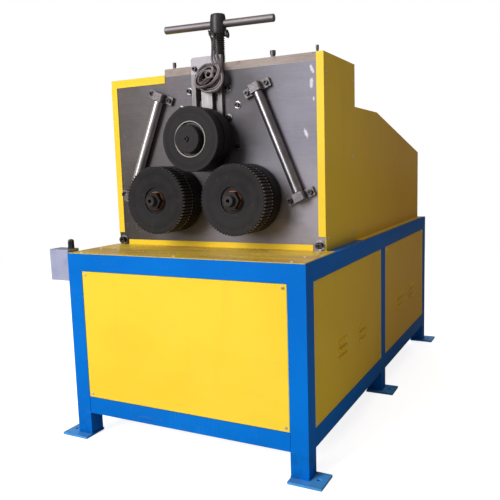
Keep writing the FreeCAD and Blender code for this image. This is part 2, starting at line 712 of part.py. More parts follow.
# ---------------------------------------------------------------- guide rails and cap

def rail_bolt_places():
    """Across and height of the bolts that hold the guide rails, both sides."""
    inner_rows = (f"({RAIL_BOTTOM} + 170)", f"({PLATE_TOP} - 59)")
    outer_rows = (f"({RAIL_BOTTOM} + 70)", f"({RAIL_BOTTOM} + 210)")
    places = []
    for side in ("-", ""):
        places += [(f"{side}inner_column", z) for z in inner_rows]
        places += [(f"{side}outer_column", z) for z in outer_rows]
    return places


def guide_rail(name, mirrored):
    """A grooved rail behind the plate, whose lip comes forward through the window."""
    part = body(name)
    inner = "slide_width/2"
    groove = f"({SCREW_Y} - {PLATE} - tongue_width/2)"
    outer = f"({inner} + rail_width)"
    back = "(plate_thickness + rail_depth)"
    shape = [(inner, "-rail_proud"), (f"{inner} + rail_lip", "-rail_proud"),
             (f"{inner} + rail_lip", "plate_thickness"), (outer, "plate_thickness"),
             (outer, back), (inner, back),
             (inner, f"{groove} + tongue_width"), (f"{inner} + tongue_depth", f"{groove} + tongue_width"),
             (f"{inner} + tongue_depth", groove), (inner, groove)]
    if mirrored:
        shape = [(f"-({x})", y) for x, y in shape]
    pad(part, outline(sketch_on(part, "XY_Plane"), shape), f"{BRIDGE_BOTTOM} - {RAIL_BOTTOM}")
    holes = sketch_on(part, "XZ_Plane", "-plate_thickness")
    for x, z in rail_bolt_places():
        if x.startswith("-") == mirrored:
            circle(holes, x, f"{z} - {RAIL_BOTTOM}", "bolt_diameter")
    pocket(part, holes, "bolt_grip")
    put(part, (MIDDLE, PLATE, RAIL_BOTTOM))
    subpart(part, name)


def guide_cap():
    """The flat piece that closes the window at the top, screwed to the top plate's edge."""
    part = body("guide_cap")
    half = "(slide_width/2 + rail_lip)"
    left = f"(-{half})"
    shape = [(left, BRIDGE_BOTTOM), (half, BRIDGE_BOTTOM), (half, BRIDGE_TOP),
             (f"{left} + bridge_corner", BRIDGE_TOP),
             (f"{left} + 0.3*bridge_corner", f"{BRIDGE_TOP} - 0.3*bridge_corner"),
             (left, f"{BRIDGE_TOP} - bridge_corner")]
    pad(part, outline(sketch_on(part, "XZ_Plane"), shape), "rail_proud")
    holes = sketch_on(part, "XZ_Plane")
    for x in ("-slide_width/2", "slide_width/2"):
        circle(holes, x, CAP_MIDDLE, "bolt_diameter")
    pocket(part, holes, "rail_proud", reverse=True)
    put(part, (MIDDLE, PLATE, "0"))
    subpart(part, "guide_cap")


def feed_nut():
    """Bronze nut, pressed into the top plate from below."""
    bore = "(screw_diameter/2 + running_gap)"
    shape = [(bore, "-nut_rim"), ("nut_flange/2", "-nut_rim"), ("nut_flange/2", "0"),
             ("nut_barrel/2", "0"), ("nut_barrel/2", "cap_thickness"), (bore, "cap_thickness")]
    subpart(turned("feed_nut", shape, (MIDDLE, SCREW_Y, PLATE_TOP), "XZ_Plane"), "feed_nut")


# ---------------------------------------------------------------- slide and feed screw

def slide_block():
    """The block that the screw lifts: front rib, two side tongues, bores for axle and screw."""
    part = body("slide_block")
    half = "(slide_width/2 - slide_clearance)"
    wing = "(slide_width/2 + tongue_depth - 1)"
    rib = "(slide_rib/2)"
    shoulder = "(rib_depth - rail_proud)"
    near = "(screw_setback - tongue_width/2 + slide_clearance)"
    far = "(screw_setback + tongue_width/2 - slide_clearance)"
    back = "(plate_thickness + rail_depth)"
    shape = [(f"-{half}", shoulder), (half, shoulder), (half, near), (wing, near), (wing, far),
             (half, far), (half, back), (f"-{half}", back), (f"-{half}", far), (f"-{wing}", far),
             (f"-{wing}", near), (f"-{half}", near)]
    height = "(slide_rise + slide_drop)"
    pad(part, outline(sketch_on(part, "XY_Plane"), shape), height)
    strip = [(f"-{rib}", "-rail_proud"), (rib, "-rail_proud"), (rib, f"{shoulder} + 4"),
             (f"-{rib}", f"{shoulder} + 4")]
    pad(part, outline(sketch_on(part, "XY_Plane"), strip), f"{height} + rib_rise")
    axle = circle(sketch_on(part, "XZ_Plane", "rail_proud"), "0", "slide_drop", "shaft_diameter")
    pocket(part, axle, f"rail_proud + {back}")
    collar = "screw_collar + 2*running_gap"
    seat = circle(sketch_on(part, "XY_Plane", height), "0", "screw_setback", collar)
    pocket(part, seat, "collar_thickness")
    bore = "screw_journal + 2*running_gap"
    journal = circle(sketch_on(part, "XY_Plane", height), "0", "screw_setback", bore)
    pocket(part, journal, "collar_thickness + journal_length + 1")
    put(part, (MIDDLE, PLATE, SLIDE_BOTTOM))
    subpart(part, "slide_block")


def screw_keeper():
    """The plate on top of the slide that holds the screw's collar down in its seat."""
    part = body("screw_keeper")
    half = "(slide_width/2 - slide_clearance)"
    front = "(screw_setback - screw_collar/2 - 9)"
    back = "(screw_setback + screw_collar/2 + 9)"
    shape = [(f"-{half}", front), (half, front), (half, back), (f"-{half}", back)]
    pad(part, outline(sketch_on(part, "XY_Plane"), shape), "keeper_thickness")
    bore = "screw_diameter + 2*running_gap"
    hole = circle(sketch_on(part, "XY_Plane"), "0", "screw_setback", bore)
    pocket(part, hole, "keeper_thickness", reverse=True)
    put(part, (MIDDLE, PLATE, SLIDE_TOP))
    subpart(part, "screw_keeper")


def feed_screw():
    """Feed screw with its thrust collar, lower journal and the tenon inside the head."""
    foot = f"({COLLAR_FLOOR} - journal_length)"
    journal = "screw_journal/2"
    shape = [("0", foot), (journal, foot), (journal, COLLAR_FLOOR), ("screw_collar/2", COLLAR_FLOOR),
             ("screw_collar/2", f"{SLIDE_TOP} - running_gap"),
             ("screw_diameter/2", f"{SLIDE_TOP} - running_gap"),
             ("screw_diameter/2", HEAD_BOTTOM), (journal, HEAD_BOTTOM), (journal, TENON_TOP),
             ("0", TENON_TOP)]
    subpart(turned("feed_screw", shape, (MIDDLE, SCREW_Y, "0"), "XZ_Plane"), "feed_screw")


def screw_head():
    """The tapered head, bored below for the screw's tenon and across for the bar."""
    part = body("screw_head")
    top = f"({HEAD_BOTTOM} + head_height)"
    shape = [("screw_journal/2", HEAD_BOTTOM), ("head_diameter/2 - 1.5", HEAD_BOTTOM),
             ("head_diameter/2", f"{HEAD_BOTTOM} + 1.5"), ("head_crown/2", f"{top} - 4"),
             ("head_crown/2 - 4", top), ("0", top), ("0", TENON_TOP), ("screw_journal/2", TENON_TOP)]
    revolve(part, outline(sketch_on(part, "XZ_Plane"), shape))
    across = circle(sketch_on(part, "YZ_Plane"), "0", f"{HEAD_BOTTOM} + bar_height", "bar_diameter")
    pocket(part, across, "2*head_diameter", both=True)
    put(part, (MIDDLE, SCREW_Y, "0"), Z_AXIS, "bar_turn")
    subpart(part, "screw_head")


def cross_bar():
    """The bar through the head, its ends chamfered; made along X."""
    part = body("cross_bar")
    radius = "(bar_diameter/2)"
    half = "(bar_length/2)"
    shape = [(f"-{half}", "0"), (half, "0"), (half, f"{radius} - 2"), (f"{half} - 2", radius),
             (f"-{half} + 2", radius), (f"-{half}", f"{radius} - 2")]
    revolve(part, outline(sketch_on(part, "XZ_Plane"), shape), "H_Axis")
    put(part, (MIDDLE, SCREW_Y, f"{HEAD_BOTTOM} + bar_height"), Z_AXIS, "bar_turn")
    subpart(part, "cross_bar")


# ---------------------------------------------------------------- upper roller

def upper_roller():
    """Two smooth discs with a groove between them, bored for its bearings."""
    radius = "upper_radius"
    first = "upper_front_rim"
    second = "(upper_front_rim + upper_groove)"
    bore = "upper_bore/2"
    shape = [(f"{bore} + bore_chamfer", "0"), (f"{radius} - 2", "0"), (radius, "2"), (radius, f"{first} - 1"),
             (f"{radius} - 1", first), (f"{radius} - groove_depth", first),
             (f"{radius} - groove_depth", second), (f"{radius} - 1", second), (radius, f"{second} + 1"),
             (radius, f"{UPPER_WIDTH} - 2"), (f"{radius} - 2", UPPER_WIDTH),
             ("collar_diameter/2 + 2", UPPER_WIDTH), ("collar_diameter/2 + 2", f"{UPPER_WIDTH} - 12"),
             (bore, f"{UPPER_WIDTH} - 12"), (bore, "bore_chamfer")]
    subpart(turned("upper_roller", shape, (MIDDLE, ROLLER_FACE, UPPER_AXIS)), "upper_roller")


def upper_bearings():
    """Two ball bearings between the roller and its axle, as plain rings."""
    inner = "(shaft_diameter/2 + running_gap)"
    length = f"(({UPPER_WIDTH} - 12 - bearing_recess - 2)/2)"
    rings = []
    for start in ("bearing_recess", f"(bearing_recess + {length} + 2)"):
        shape = ring(inner, "upper_bore/2", start, f"{start} + {length}")
        rings.append(turned("bearing", shape, (MIDDLE, ROLLER_FACE, UPPER_AXIS)))
    subpart(group(rings), "upper_bearings")


def upper_axle():
    """The stub axle: bearing journal, collar against the slide, tail through the slide."""
    radius = "shaft_diameter/2"
    back = f"({RAIL_BACK} - {ROLLER_FACE})"
    collar = f"({RAIL_FRONT} - {ROLLER_FACE})"
    journal_end = f"({UPPER_WIDTH} - 10)"
    shape = [("0", "bearing_recess"), (radius, "bearing_recess"), (radius, journal_end),
             ("collar_diameter/2", journal_end), ("collar_diameter/2", collar), (radius, collar),
             (radius, back), ("0", back)]
    subpart(turned("upper_axle", shape, (MIDDLE, ROLLER_FACE, UPPER_AXIS)), "upper_axle")


def bearing_cap():
    """The cap that clamps the inner rings, with the seat of its socket bolt."""
    radius = "cap_diameter/2"
    bore = "bolt_diameter/2"
    seat = "(bolt_head/2 + 1.5)"
    spigot = "(shaft_diameter/2 + 6)"
    shape = [(bore, "bearing_recess"), (bore, "-cap_proud + 4"), (seat, "-cap_proud + 4"),
             (seat, "-cap_proud"), (f"{radius} - 2", "-cap_proud"), (radius, "-cap_proud + 2"),
             (radius, "bearing_recess - 3"), (spigot, "bearing_recess - 3"),
             (spigot, "bearing_recess - 0.5"), ("shaft_diameter/2 - 2", "bearing_recess")]
    subpart(turned("bearing_cap", shape, (MIDDLE, ROLLER_FACE, UPPER_AXIS)), "bearing_cap")


# ---------------------------------------------------------------- lower rollers and drive

def lower_roller(name, x):
    """Toothed rim, groove and smooth rim on one turned blank with a dished face."""
    part = body(name)
    radius = "roller_radius"
    groove = "(toothed_width + profile_groove)"
    back = f"({groove} + flange_rim)"
    bore = "shaft_diameter/2"
    shape = [(bore, "face_dish + hub_depth"), ("hub_recess/2", "face_dish + hub_depth"),
             ("hub_recess/2", "face_dish"), (f"{radius} - 8", "0"), (radius, "0"), (radius, "toothed_width"),
             (f"{radius} - groove_depth", "toothed_width"), (f"{radius} - groove_depth", groove),
             (f"{radius} - 1", groove), (radius, f"{groove} + 1"), (radius, f"{back} - 3"),
             (f"{radius} - 3", back), (bore, back)]
    revolve(part, outline(sketch_on(part, "XY_Plane"), shape))
    half = "tooth_gap/2"
    gap = [(f"-{half} + 1.2", f"{radius} - tooth_depth"), (f"{half} - 1.2", f"{radius} - tooth_depth"),
           (f"{half} + 0.6", f"{radius} + 1"), (f"-{half} - 0.6", f"{radius} + 1")]
    first = pocket(part, outline(sketch_on(part, "XZ_Plane"), gap), "toothed_width")
    polar(part, first, "Y_Axis", "tooth_count")
    put(part, (x, ROLLER_FACE, LOWER_AXIS))
    subpart(part, name)


def roller_shaft(name, x):
    """Shaft of a lower roller: threaded end, roller seat, collar, bearings and gear seat."""
    radius = "shaft_diameter/2"
    collar = "(toothed_width + profile_groove + flange_rim)"
    collar_end = "(roller_front - 1)"
    back = f"({BOX_BACK} - {ROLLER_FACE} + 8)"
    nose = "(face_dish + hub_depth - thread_length)"
    thread = "(thread_diameter/2)"
    seat = "(face_dish + hub_depth)"
    shape = [("centre_hole/2", nose), (f"{thread} - 2", nose), (thread, f"{nose} + 2"), (thread, seat),
             (radius, seat), (radius, collar), ("shaft_collar/2", collar), ("shaft_collar/2", collar_end),
             (radius, collar_end), (radius, back), ("0", back), ("0", f"{nose} + 16"),
             ("centre_hole/2", f"{nose} + 12")]
    subpart(turned(name, shape, (x, ROLLER_FACE, LOWER_AXIS)), name)


def copper_washer(name, x):
    shape = ring("thread_diameter/2", "washer_diameter/2", "hub_depth + face_dish - washer_thickness",
                 "hub_depth + face_dish")
    subpart(turned(name, shape, (x, ROLLER_FACE, LOWER_AXIS)), name)


def shaft_nut(name, x):
    """Hexagon nut with both faces turned down at the corners."""
    across = "(nut_width/2/cos(30))"
    prism = doc.addObject("Part::Prism", "hexagon")
    prism.Polygon = 6
    bind(prism, Circumradius=across, Height="nut_thickness")
    hole = cylinder("thread_diameter/2", "nut_thickness", ("0", "0", "0"))
    cone = [("0", "0"), (f"{across} - 2.5", "0"), (f"{across} + 0.5", "2"),
            (f"{across} + 0.5", "nut_thickness"), ("0", "nut_thickness")]
    blank = turned("nut_blank", cone, ("0", "0", "0"), "XZ_Plane")
    shaped = doc.addObject("Part::Common", "nut")
    shaped.Base = prism
    shaped.Tool = blank
    nut = cut(shaped, hole)
    face = "(hub_depth + face_dish - washer_thickness)"
    put(nut, (x, f"{ROLLER_FACE} + {face} - nut_thickness", LOWER_AXIS), X_AXIS, -90)
    subpart(nut, name)


def shaft_bearings():
    """Flanged bearing units: two in the face plate, three in the bearing plate."""
    bore = "(shaft_diameter/2 + running_gap)"
    units = []
    left, right = "-roller_spacing/2", "roller_spacing/2"
    places = [(x, PLATE, "plate_thickness") for x in (left, right)]
    places += [(x, BEARING, "bearing_thickness") for x in (left, "0", right)]
    for x, y, wall in places:
        inner = y == BEARING
        barrel = [(bore, "0"), ("bearing_outer/2", "0"), ("bearing_outer/2", wall)]
        flange = [("bearing_flange/2", wall), ("bearing_flange/2", f"{wall} + bearing_rim"),
                  (bore, f"{wall} + bearing_rim")]
        if inner:
            barrel = [(bore, "-bearing_rim"), ("bearing_flange/2", "-bearing_rim"),
                      ("bearing_flange/2", "0"), ("bearing_outer/2", "0")]
            flange = [("bearing_outer/2", wall), (bore, wall)]
        units.append(turned("bearing_unit", barrel + flange, (f"{MIDDLE} + {x}", y, LOWER_AXIS)))
    subpart(group(units), "shaft_bearings")


def gear(name, x, teeth, width, at_y, hub, phase):
    """A spur gear with straight-flanked teeth; the first gap starts at the given phase."""
    part = body(name)
    pitch = f"(gear_module*{teeth}/2)"
    tip = f"({pitch} + 0.8*gear_module)"
    root = f"({pitch} - 1.05*gear_module)"
    bore = "shaft_diameter/2"
    blank = [(bore, "0"), (tip, "0"), (tip, width), (bore, width)]
    if hub:
        low = f"(({width} - gear_web)/2)"
        high = f"(({width} + gear_web)/2)"
        rim = f"({root} - 2*gear_module)"
        hub_radius = "(gear_hub/2)"
        blank = [(bore, "0"), (hub_radius, "0"), (hub_radius, low), (rim, low), (rim, "0"), (tip, "0"),
                 (tip, width), (rim, width), (rim, high), (hub_radius, high), (hub_radius, width),
                 (bore, width)]
    revolve(part, outline(sketch_on(part, "XY_Plane"), blank))
    space = "(gear_module*pi/4 + 0.12*gear_module)"
    foot = f"({space} - 0.42*gear_module)"
    mouth = f"({space} + 0.36*gear_module)"
    gap = [(f"-{foot}", root), (foot, root), (mouth, f"{tip} + 0.5"), (f"-{mouth}", f"{tip} + 0.5")]
    first = pocket(part, outline(sketch_on(part, "XZ_Plane"), gap), width)
    polar(part, first, "Y_Axis", teeth)
    return put(part, (x, at_y, LOWER_AXIS), Y_AXIS, phase)


def drive():
    left = f"({MIDDLE} - roller_spacing/2)"
    right = f"({MIDDLE} + roller_spacing/2)"
    for word, x in (("left", left), ("right", right)):
        lower_roller(f"lower_roller_{word}", x)
        roller_shaft(f"roller_shaft_{word}", x)
        copper_washer(f"copper_washer_{word}", x)
        shaft_nut(f"shaft_nut_{word}", x)
    # The left gear starts with a gap at its top and the right one with a tooth, so that both mesh.
    phases = (("drive_gear_left", left, "90"), ("drive_gear_right", right, "90 + 180/gear_teeth"))
    for name, x, phase in phases:
        subpart(gear("gear", x, "gear_teeth", "gear_width", GEAR_Y, True, phase), name)
    pinion_y = f"({GEAR_Y} + gear_width/2 - pinion_width/2)"
    pinion = gear("pinion", MIDDLE, "pinion_teeth", "pinion_width", pinion_y, False, "90")
    end = f"({REDUCER_Y} + pinion_reach)"
    shaft = [("0", f"{pinion_y} - 20"), ("shaft_diameter/2 - 3", f"{pinion_y} - 20"),
             ("shaft_diameter/2", f"{pinion_y} - 17"), ("shaft_diameter/2", end), ("0", end)]
    spindle = turned("spindle", shaft, (MIDDLE, "0", LOWER_AXIS))
    subpart(join(pinion, spindle), "pinion_shaft")


def reducer():
    """Cycloidal reducer: stepped round housing on a foot, open in front for the pinion shaft."""
    radius = "reducer_radius"
    bore = "(shaft_diameter/2 + running_gap)"
    end = "reducer_length"
    waist = f"({radius} - reducer_waist)"
    back = f"({radius} - 3*reducer_waist)"
    depth = "(pinion_reach + 4)"
    nose = "(reducer_nose/2)"
    shape = [(bore, "0"), (nose, "0"), (f"{nose} + 12", "46"), (radius, "60"), (radius, "96"), (waist, "98"),
             (waist, f"{end} - 74"), (radius, f"{end} - 72"), (radius, f"{end} - 40"),
             (back, f"{end} - 26"), (back, end), ("0", end), ("0", depth), (bore, depth)]
    shell = turned("reducer_shell", shape, (MIDDLE, REDUCER_Y, LOWER_AXIS))
    foot = box(("2*reducer_radius - 20", "reducer_length - 110", "reducer_foot"),
               (f"{MIDDLE} - reducer_radius + 10", f"{REDUCER_Y} + 60", DECK))
    rib_height = "(roller_rise - reducer_radius + 24)"
    middle = f"({MIDDLE} - reducer_rib/2)"
    ribs = [box(("reducer_rib", "reducer_length - 120", f"{rib_height}"),
                (f"{middle} {side} 50", f"{REDUCER_Y} + 65", f"{DECK} + reducer_foot/2"))
            for side in ("-", "+")]
    subpart(join(shell, foot, *ribs), "gear_reducer")


def motor():
    """Flange motor: finned frame with a terminal box on top and a fan cover at its back."""
    part = body("motor_frame")
    radius = "motor_radius"
    rim = f"({radius} + motor_rim)"
    start = "(motor_length - cowl_length)"
    shape = [("0", "0"), (rim, "0"), (rim, "motor_flange"), (radius, "motor_flange"), (radius, start),
             ("0", start)]
    revolve(part, outline(sketch_on(part, "XY_Plane"), shape))
    root = f"({radius} - fin_depth)"
    gap = [("-5", root), ("5", root), ("8", f"{radius} + 1"), ("-8", f"{radius} + 1")]
    between = outline(sketch_on(part, "XZ_Plane", "-(motor_flange + 12)"), gap)
    first = pocket(part, between, f"{start} - motor_flange - 24")
    polar(part, first, "Y_Axis", "fin_count")
    put(part, (MIDDLE, MOTOR_Y, LOWER_AXIS))
    terminal = box(("terminal_width", "terminal_depth", "terminal_height"),
                   (f"{MIDDLE} - terminal_width/2", f"{MOTOR_Y} + 60", f"{LOWER_AXIS} + motor_radius - 16"))
    cowl = [("0", start), (f"{radius} + 3", start), (f"{radius} + 3", "motor_length - 10"),
            (f"{radius} - 7", "motor_length"), ("0", "motor_length")]
    cover = turned("fan_cover", cowl, (MIDDLE, MOTOR_Y, LOWER_AXIS))
    subpart(join(part, terminal, cover), "drive_motor")


# ---------------------------------------------------------------- guide rollers

def guide_geometry():
    """Length and lean of a guide roller, from the places of its two brackets."""
    across = "(guide_foot_out - guide_top_out)"
    rise = f"({GUIDE_TOP} - {GUIDE_FOOT})"
    return f"sqrt({across}^2 + {rise}^2)", f"(atan({across}/{rise}))"


def guide_bracket():
    """Raised block with an ear on each side; made lying on XZ with the roller along Z."""
    part = body("bracket")
    half = "(bracket_width/2)"
    block = "(bracket_block/2)"
    ear = "-ear_thickness"
    shape = [(f"-{half}", "0"), (half, "0"), (half, ear), (block, ear),
             (block, "-block_rise + 4"), (f"{block} - 4", "-block_rise"), (f"-{block} + 4", "-block_rise"),
             (f"-{block}", "-block_rise + 4"), (f"-{block}", ear), (f"-{half}", ear)]
    pad(part, outline(sketch_on(part, "XY_Plane"), shape), "bracket_depth", both=True)
    bore = circle(sketch_on(part, "XY_Plane"), "0", "-guide_stand", "guide_bore - 2*running_gap")
    pocket(part, bore, "2*bracket_depth", both=True)
    holes = sketch_on(part, "XZ_Plane")
    for side in ("-", ""):
        circle(holes, f"{side}ear_screws/2", "0", "bolt_diameter + 1")
    pocket(part, holes, "ear_thickness + 1", reverse=True)
    return part


def guide_rollers():
    length, lean = guide_geometry()
    bracket = guide_bracket()
    brackets = []
    pins = []
    for word, side in (("left", "-"), ("right", "+")):
        top_x = f"{MIDDLE} {side} guide_top_out"
        foot_x = f"{MIDDLE} {side} guide_foot_out"
        tilt = lean if side == "-" else f"(-{lean})"
        ends = ((top_x, GUIDE_TOP), (foot_x, GUIDE_FOOT))
        for x, z in ends:
            brackets.append(copy_at(bracket, (x, PLATE, z), Y_AXIS, tilt))
        centre = (f"{MIDDLE} {side} (guide_top_out + guide_foot_out)/2", GUIDE_Y,
                  f"({GUIDE_TOP} + {GUIDE_FOOT})/2")
        half = f"({length}/2)"
        pin_radius = "(guide_bore/2 - running_gap)"
        reach = f"({half} + bracket_depth/2)"
        pin = ring("0", pin_radius, f"-{reach}", reach)
        pins.append(turned("pin", pin, centre, "XZ_Plane", Y_AXIS, tilt))
        tube_end = f"({half} - bracket_depth/2 - 1.5)"
        tube = [("guide_bore/2", f"-{tube_end}"), ("guide_diameter/2 - 1", f"-{tube_end}"),
                ("guide_diameter/2", f"-{tube_end} + 1"), ("guide_diameter/2", f"{tube_end} - 1"),
                ("guide_diameter/2 - 1", tube_end), ("guide_bore/2", tube_end)]
        name = f"guide_roller_{word}"
        subpart(turned(name, tube, centre, "XZ_Plane", Y_AXIS, tilt), name)
    subpart(group(pins), "guide_pins")
    subpart(group(brackets), "guide_brackets")
    bracket.Visibility = False


# ---------------------------------------------------------------- fasteners

def socket_bolt(head, grip):
    """A socket bolt that points along -Z, with its head's underside at the origin."""
    cap = cylinder(f"{head}/2", f"0.62*{head}", ("0", "0", "0"))
    prism = doc.addObject("Part::Prism", "socket")
    prism.Polygon = 6
    bind(prism, Circumradius="bolt_socket/2/cos(30)", Height=f"0.35*{head}")
    put(prism, ("0", "0", f"0.27*{head}"))
    shank = cylinder("bolt_diameter/2", grip, ("0", "0", f"-({grip})"))
    return join(cut(cap, prism), shank)


def stud(diameter, at):
    """A headless bolt or pin in the top plate: a shank, and the thicker end that stands on it."""
    neck = cylinder(f"0.4*{diameter}", "stud_rise/3", ("0", "0", "0"))
    end = cylinder(f"{diameter}/2", "2*stud_rise/3", ("0", "0", "stud_rise/3"))
    return put(join(neck, end), at)


def washer(outer):
    disc = cylinder(f"({outer})/2", "washer_height", ("0", "0", "0"))
    return cut(disc, cylinder("bolt_diameter/2 + 0.5", "washer_height", ("0", "0", "0")))


def fasteners():
    """All bolts that look out of the face plate, the top plate and the brackets."""
    plate_bolt = socket_bolt("bolt_head", "washer_height + plate_thickness + bolt_grip")
    corner_bolt = socket_bolt("corner_head", "washer_height")
    short_bolt = socket_bolt("bolt_head", "ear_thickness")
    cap_screw = socket_bolt("bolt_head", "rail_proud")
    flat = washer("washer_outer")
    wide = washer("corner_head + 10")
    bolts = []
    washers = []
    head_y = f"({PLATE} - washer_height)"
    for x, z in rail_bolt_places():
        across = f"{MIDDLE} + {x}" if not x.startswith("-") else f"{MIDDLE} {x}"
        bolts.append(copy_at(plate_bolt, (across, head_y, z), X_AXIS, 90))
        washers.append(copy_at(flat, (across, PLATE, z), X_AXIS, 90))
    for side in ("-", "+"):
        across = f"{MIDDLE} {side} ({COVER_OUT} - corner_inset)"
        bolts.append(copy_at(corner_bolt, (across, head_y, f"{DECK} + corner_rise"), X_AXIS, 90))
        washers.append(copy_at(wide, (across, PLATE, f"{DECK} + corner_rise"), X_AXIS, 90))
    row = f"({PLATE} + plate_thickness/2)"
    bolts += [stud("stud_diameter", (f"{MIDDLE} - cap_left + 34", row, CAP_TOP)),
              stud("stud_head", (f"{MIDDLE} + cap_left + 61", row, CAP_TOP)),
              stud("pin_diameter", (f"{MIDDLE} + {INSIDE} - 24", row, CAP_TOP))]
    length, lean = guide_geometry()
    for side in ("-", "+"):
        tilt = lean if side == "-" else f"(-{lean})"
        for out, z in (("guide_top_out", GUIDE_TOP), ("guide_foot_out", GUIDE_FOOT)):
            for end in ("-", "+"):
                x = f"{MIDDLE} {side} {out} {end} ear_screws/2*cos({tilt})"
                level = f"{z} - ({end} ear_screws/2*sin({tilt}))"
                bolts.append(copy_at(short_bolt, (x, f"{PLATE} - ear_thickness", level), X_AXIS, 90))
    for x in ("-slide_width/2", "slide_width/2"):
        place = (f"{MIDDLE} + {x}", f"{PLATE} - rail_proud", CAP_MIDDLE)
        bolts.append(copy_at(cap_screw, place, X_AXIS, 90))
    subpart(group(bolts), "socket_bolts")
    subpart(group(washers), "plate_washers")
    centre = socket_bolt("bolt_head", "cap_proud - 4 + bearing_recess")
    screw = put(centre, (MIDDLE, f"{ROLLER_FACE} - cap_proud + 4", UPPER_AXIS), X_AXIS, 90)
    subpart(screw, "cap_bolt")


def sheet_screws():
    """Small screws of the panels, the tray and the covers, one octagon for all."""
    master = doc.addObject("Part::Prism", "screw")
    master.Polygon = 8
    bind(master, Circumradius="screw_head/2", Height="screw_rise")
    places = []
    out = "(base_width/2 - panel_recess)"
    low = f"({PANEL_FLOOR} + panel_gap + screw_inset)"
    high = f"({PANEL_CEILING} - panel_gap - screw_inset)"
    end_x = "(base_width/2 - tube_side - panel_gap - screw_inset)"
    near = "(base_depth/2 - tube_side - panel_gap - screw_inset)"
    far = "(tube_side/2 + panel_gap + screw_inset)"
    for z in (low, high):
        for side in ("-", ""):
            places.append(((f"{side}{end_x}", f"{FRONT} + panel_recess", z), X_AXIS, 90))
            places.append(((f"{side}{end_x}", f"-{FRONT} - panel_recess", z), X_AXIS, -90))
            for y in (near, far):
                for front in ("-", ""):
                    turn = -90 if side else 90
                    places.append(((f"{side}{out}", f"{front}{y}", z), Y_AXIS, turn))
    edge = "(base_width/2 - tube_side/2 - 20)"
    for x, y in ((f"-{edge}", "16"), ("-20", "26"), (edge, "16"), (f"-{edge}", "120"), (edge, "120")):
        places.append(((x, f"{FRONT} + tray_inset + {y}", f"{DECK} + tray_thickness"), Z_AXIS, 0))
    for side in ("-", "+"):
        wall = f"{MIDDLE} {side} {COVER_OUT}"
        turn = -90 if side == "-" else 90
        for y in ("20", "(bearing_setback + 6)"):
            for z in (f"{DECK} + 42", f"({LOWER_AXIS} + 134)", f"{LEFT_TOP} - 40"):
                places.append(((wall, f"{PLATE} + {y}", z), Y_AXIS, turn))
        for y in ("(step_end - 60)", f"({HOOD_DEPTH} - 260)"):
            lip = f"{MIDDLE} {side} ({COVER_OUT} + foot_lip/2)"
            places.append(((lip, f"{PLATE} + {y}", f"{DECK} + sheet"), Z_AXIS, 0))
        rear = f"{MIDDLE} {side} ({INSIDE} - 30)"
        for z in (f"{DECK} + 40", f"{SLOPE} - 40"):
            places.append(((rear, HOOD_BACK, z), X_AXIS, -90))
    subpart(group([copy_at(master, *place) for place in places]), "sheet_screws")


# ---------------------------------------------------------------- controls and spare cable

def controls():
    """Switch box on the left of the frame, with a selector knob on its top."""
    size = ("control_width", "control_depth", "control_height")
    corner = ("-base_width/2 - control_width", f"{FRONT} + 2", f"{CONTROL_TOP} - control_height")
    shell = box(size, corner)
    inside = [f"{length} - 2*control_wall" for length in size]
    hollow = box(inside, [f"{place} + control_wall" for place in corner])
    knob_x = "(-base_width/2 - knob_diameter/2 - 2)"
    knob_y = f"({FRONT} + 36)"
    hole = cylinder("knob_stem/2 + running_gap", "control_wall",
                    (knob_x, knob_y, f"{CONTROL_TOP} - control_wall"))
    subpart(cut(shell, hollow, hole), "control_box")
    radius = "knob_diameter/2"
    shape = [("0", "-8"), ("knob_stem/2", "-8"), ("knob_stem/2", "0.4"), (radius, "0.4"),
             (f"{radius} - 2", "knob_height - 5"), (f"{radius} - 6", "knob_height"), ("0", "knob_height")]
    subpart(turned("selector_knob", shape, (knob_x, knob_y, CONTROL_TOP), "XZ_Plane"), "selector_knob")


def cable_coil():
    """Outer shape of the coiled spare cable: a thick ring with rounded faces."""
    part = body("cable_coil")
    outer = "hank_radius"
    half = "hank_thickness/2"
    shape = [("hank_hole", f"-{half} + 6"), ("hank_hole + 8", f"-{half}"), (f"{outer} - 12", f"-{half}"),
             (f"{outer} - 3", f"-{half} + 6"), (outer, "0"), (f"{outer} - 3", f"{half} - 6"),
             (f"{outer} - 12", half), ("hank_hole + 8", half), ("hank_hole", f"{half} - 6")]
    revolve(part, outline(sketch_on(part, "XY_Plane"), shape))
    put(part, (f"{MIDDLE} + hank_out", HANK_Y, f"{UPPER_AXIS} + hank_rise"))
    subpart(part, "cable_coil")


# The cable's loop over the screw's neck: points from the coil up, round behind and back.
# X from the screw, Y from the screw, height above the floor.
LOOP = [
    (34, -122, 1297.5), (28, -105, 1361), (2, -50, 1402), (-30, -28, 1422), (-40, 10, 1424), (-14, 40, 1424),
    (24, 34, 1422), (42, 2, 1418), (34, -28, 1407), (22, -57, 1391), (42, -106, 1362), (56, -122, 1291.5),
]


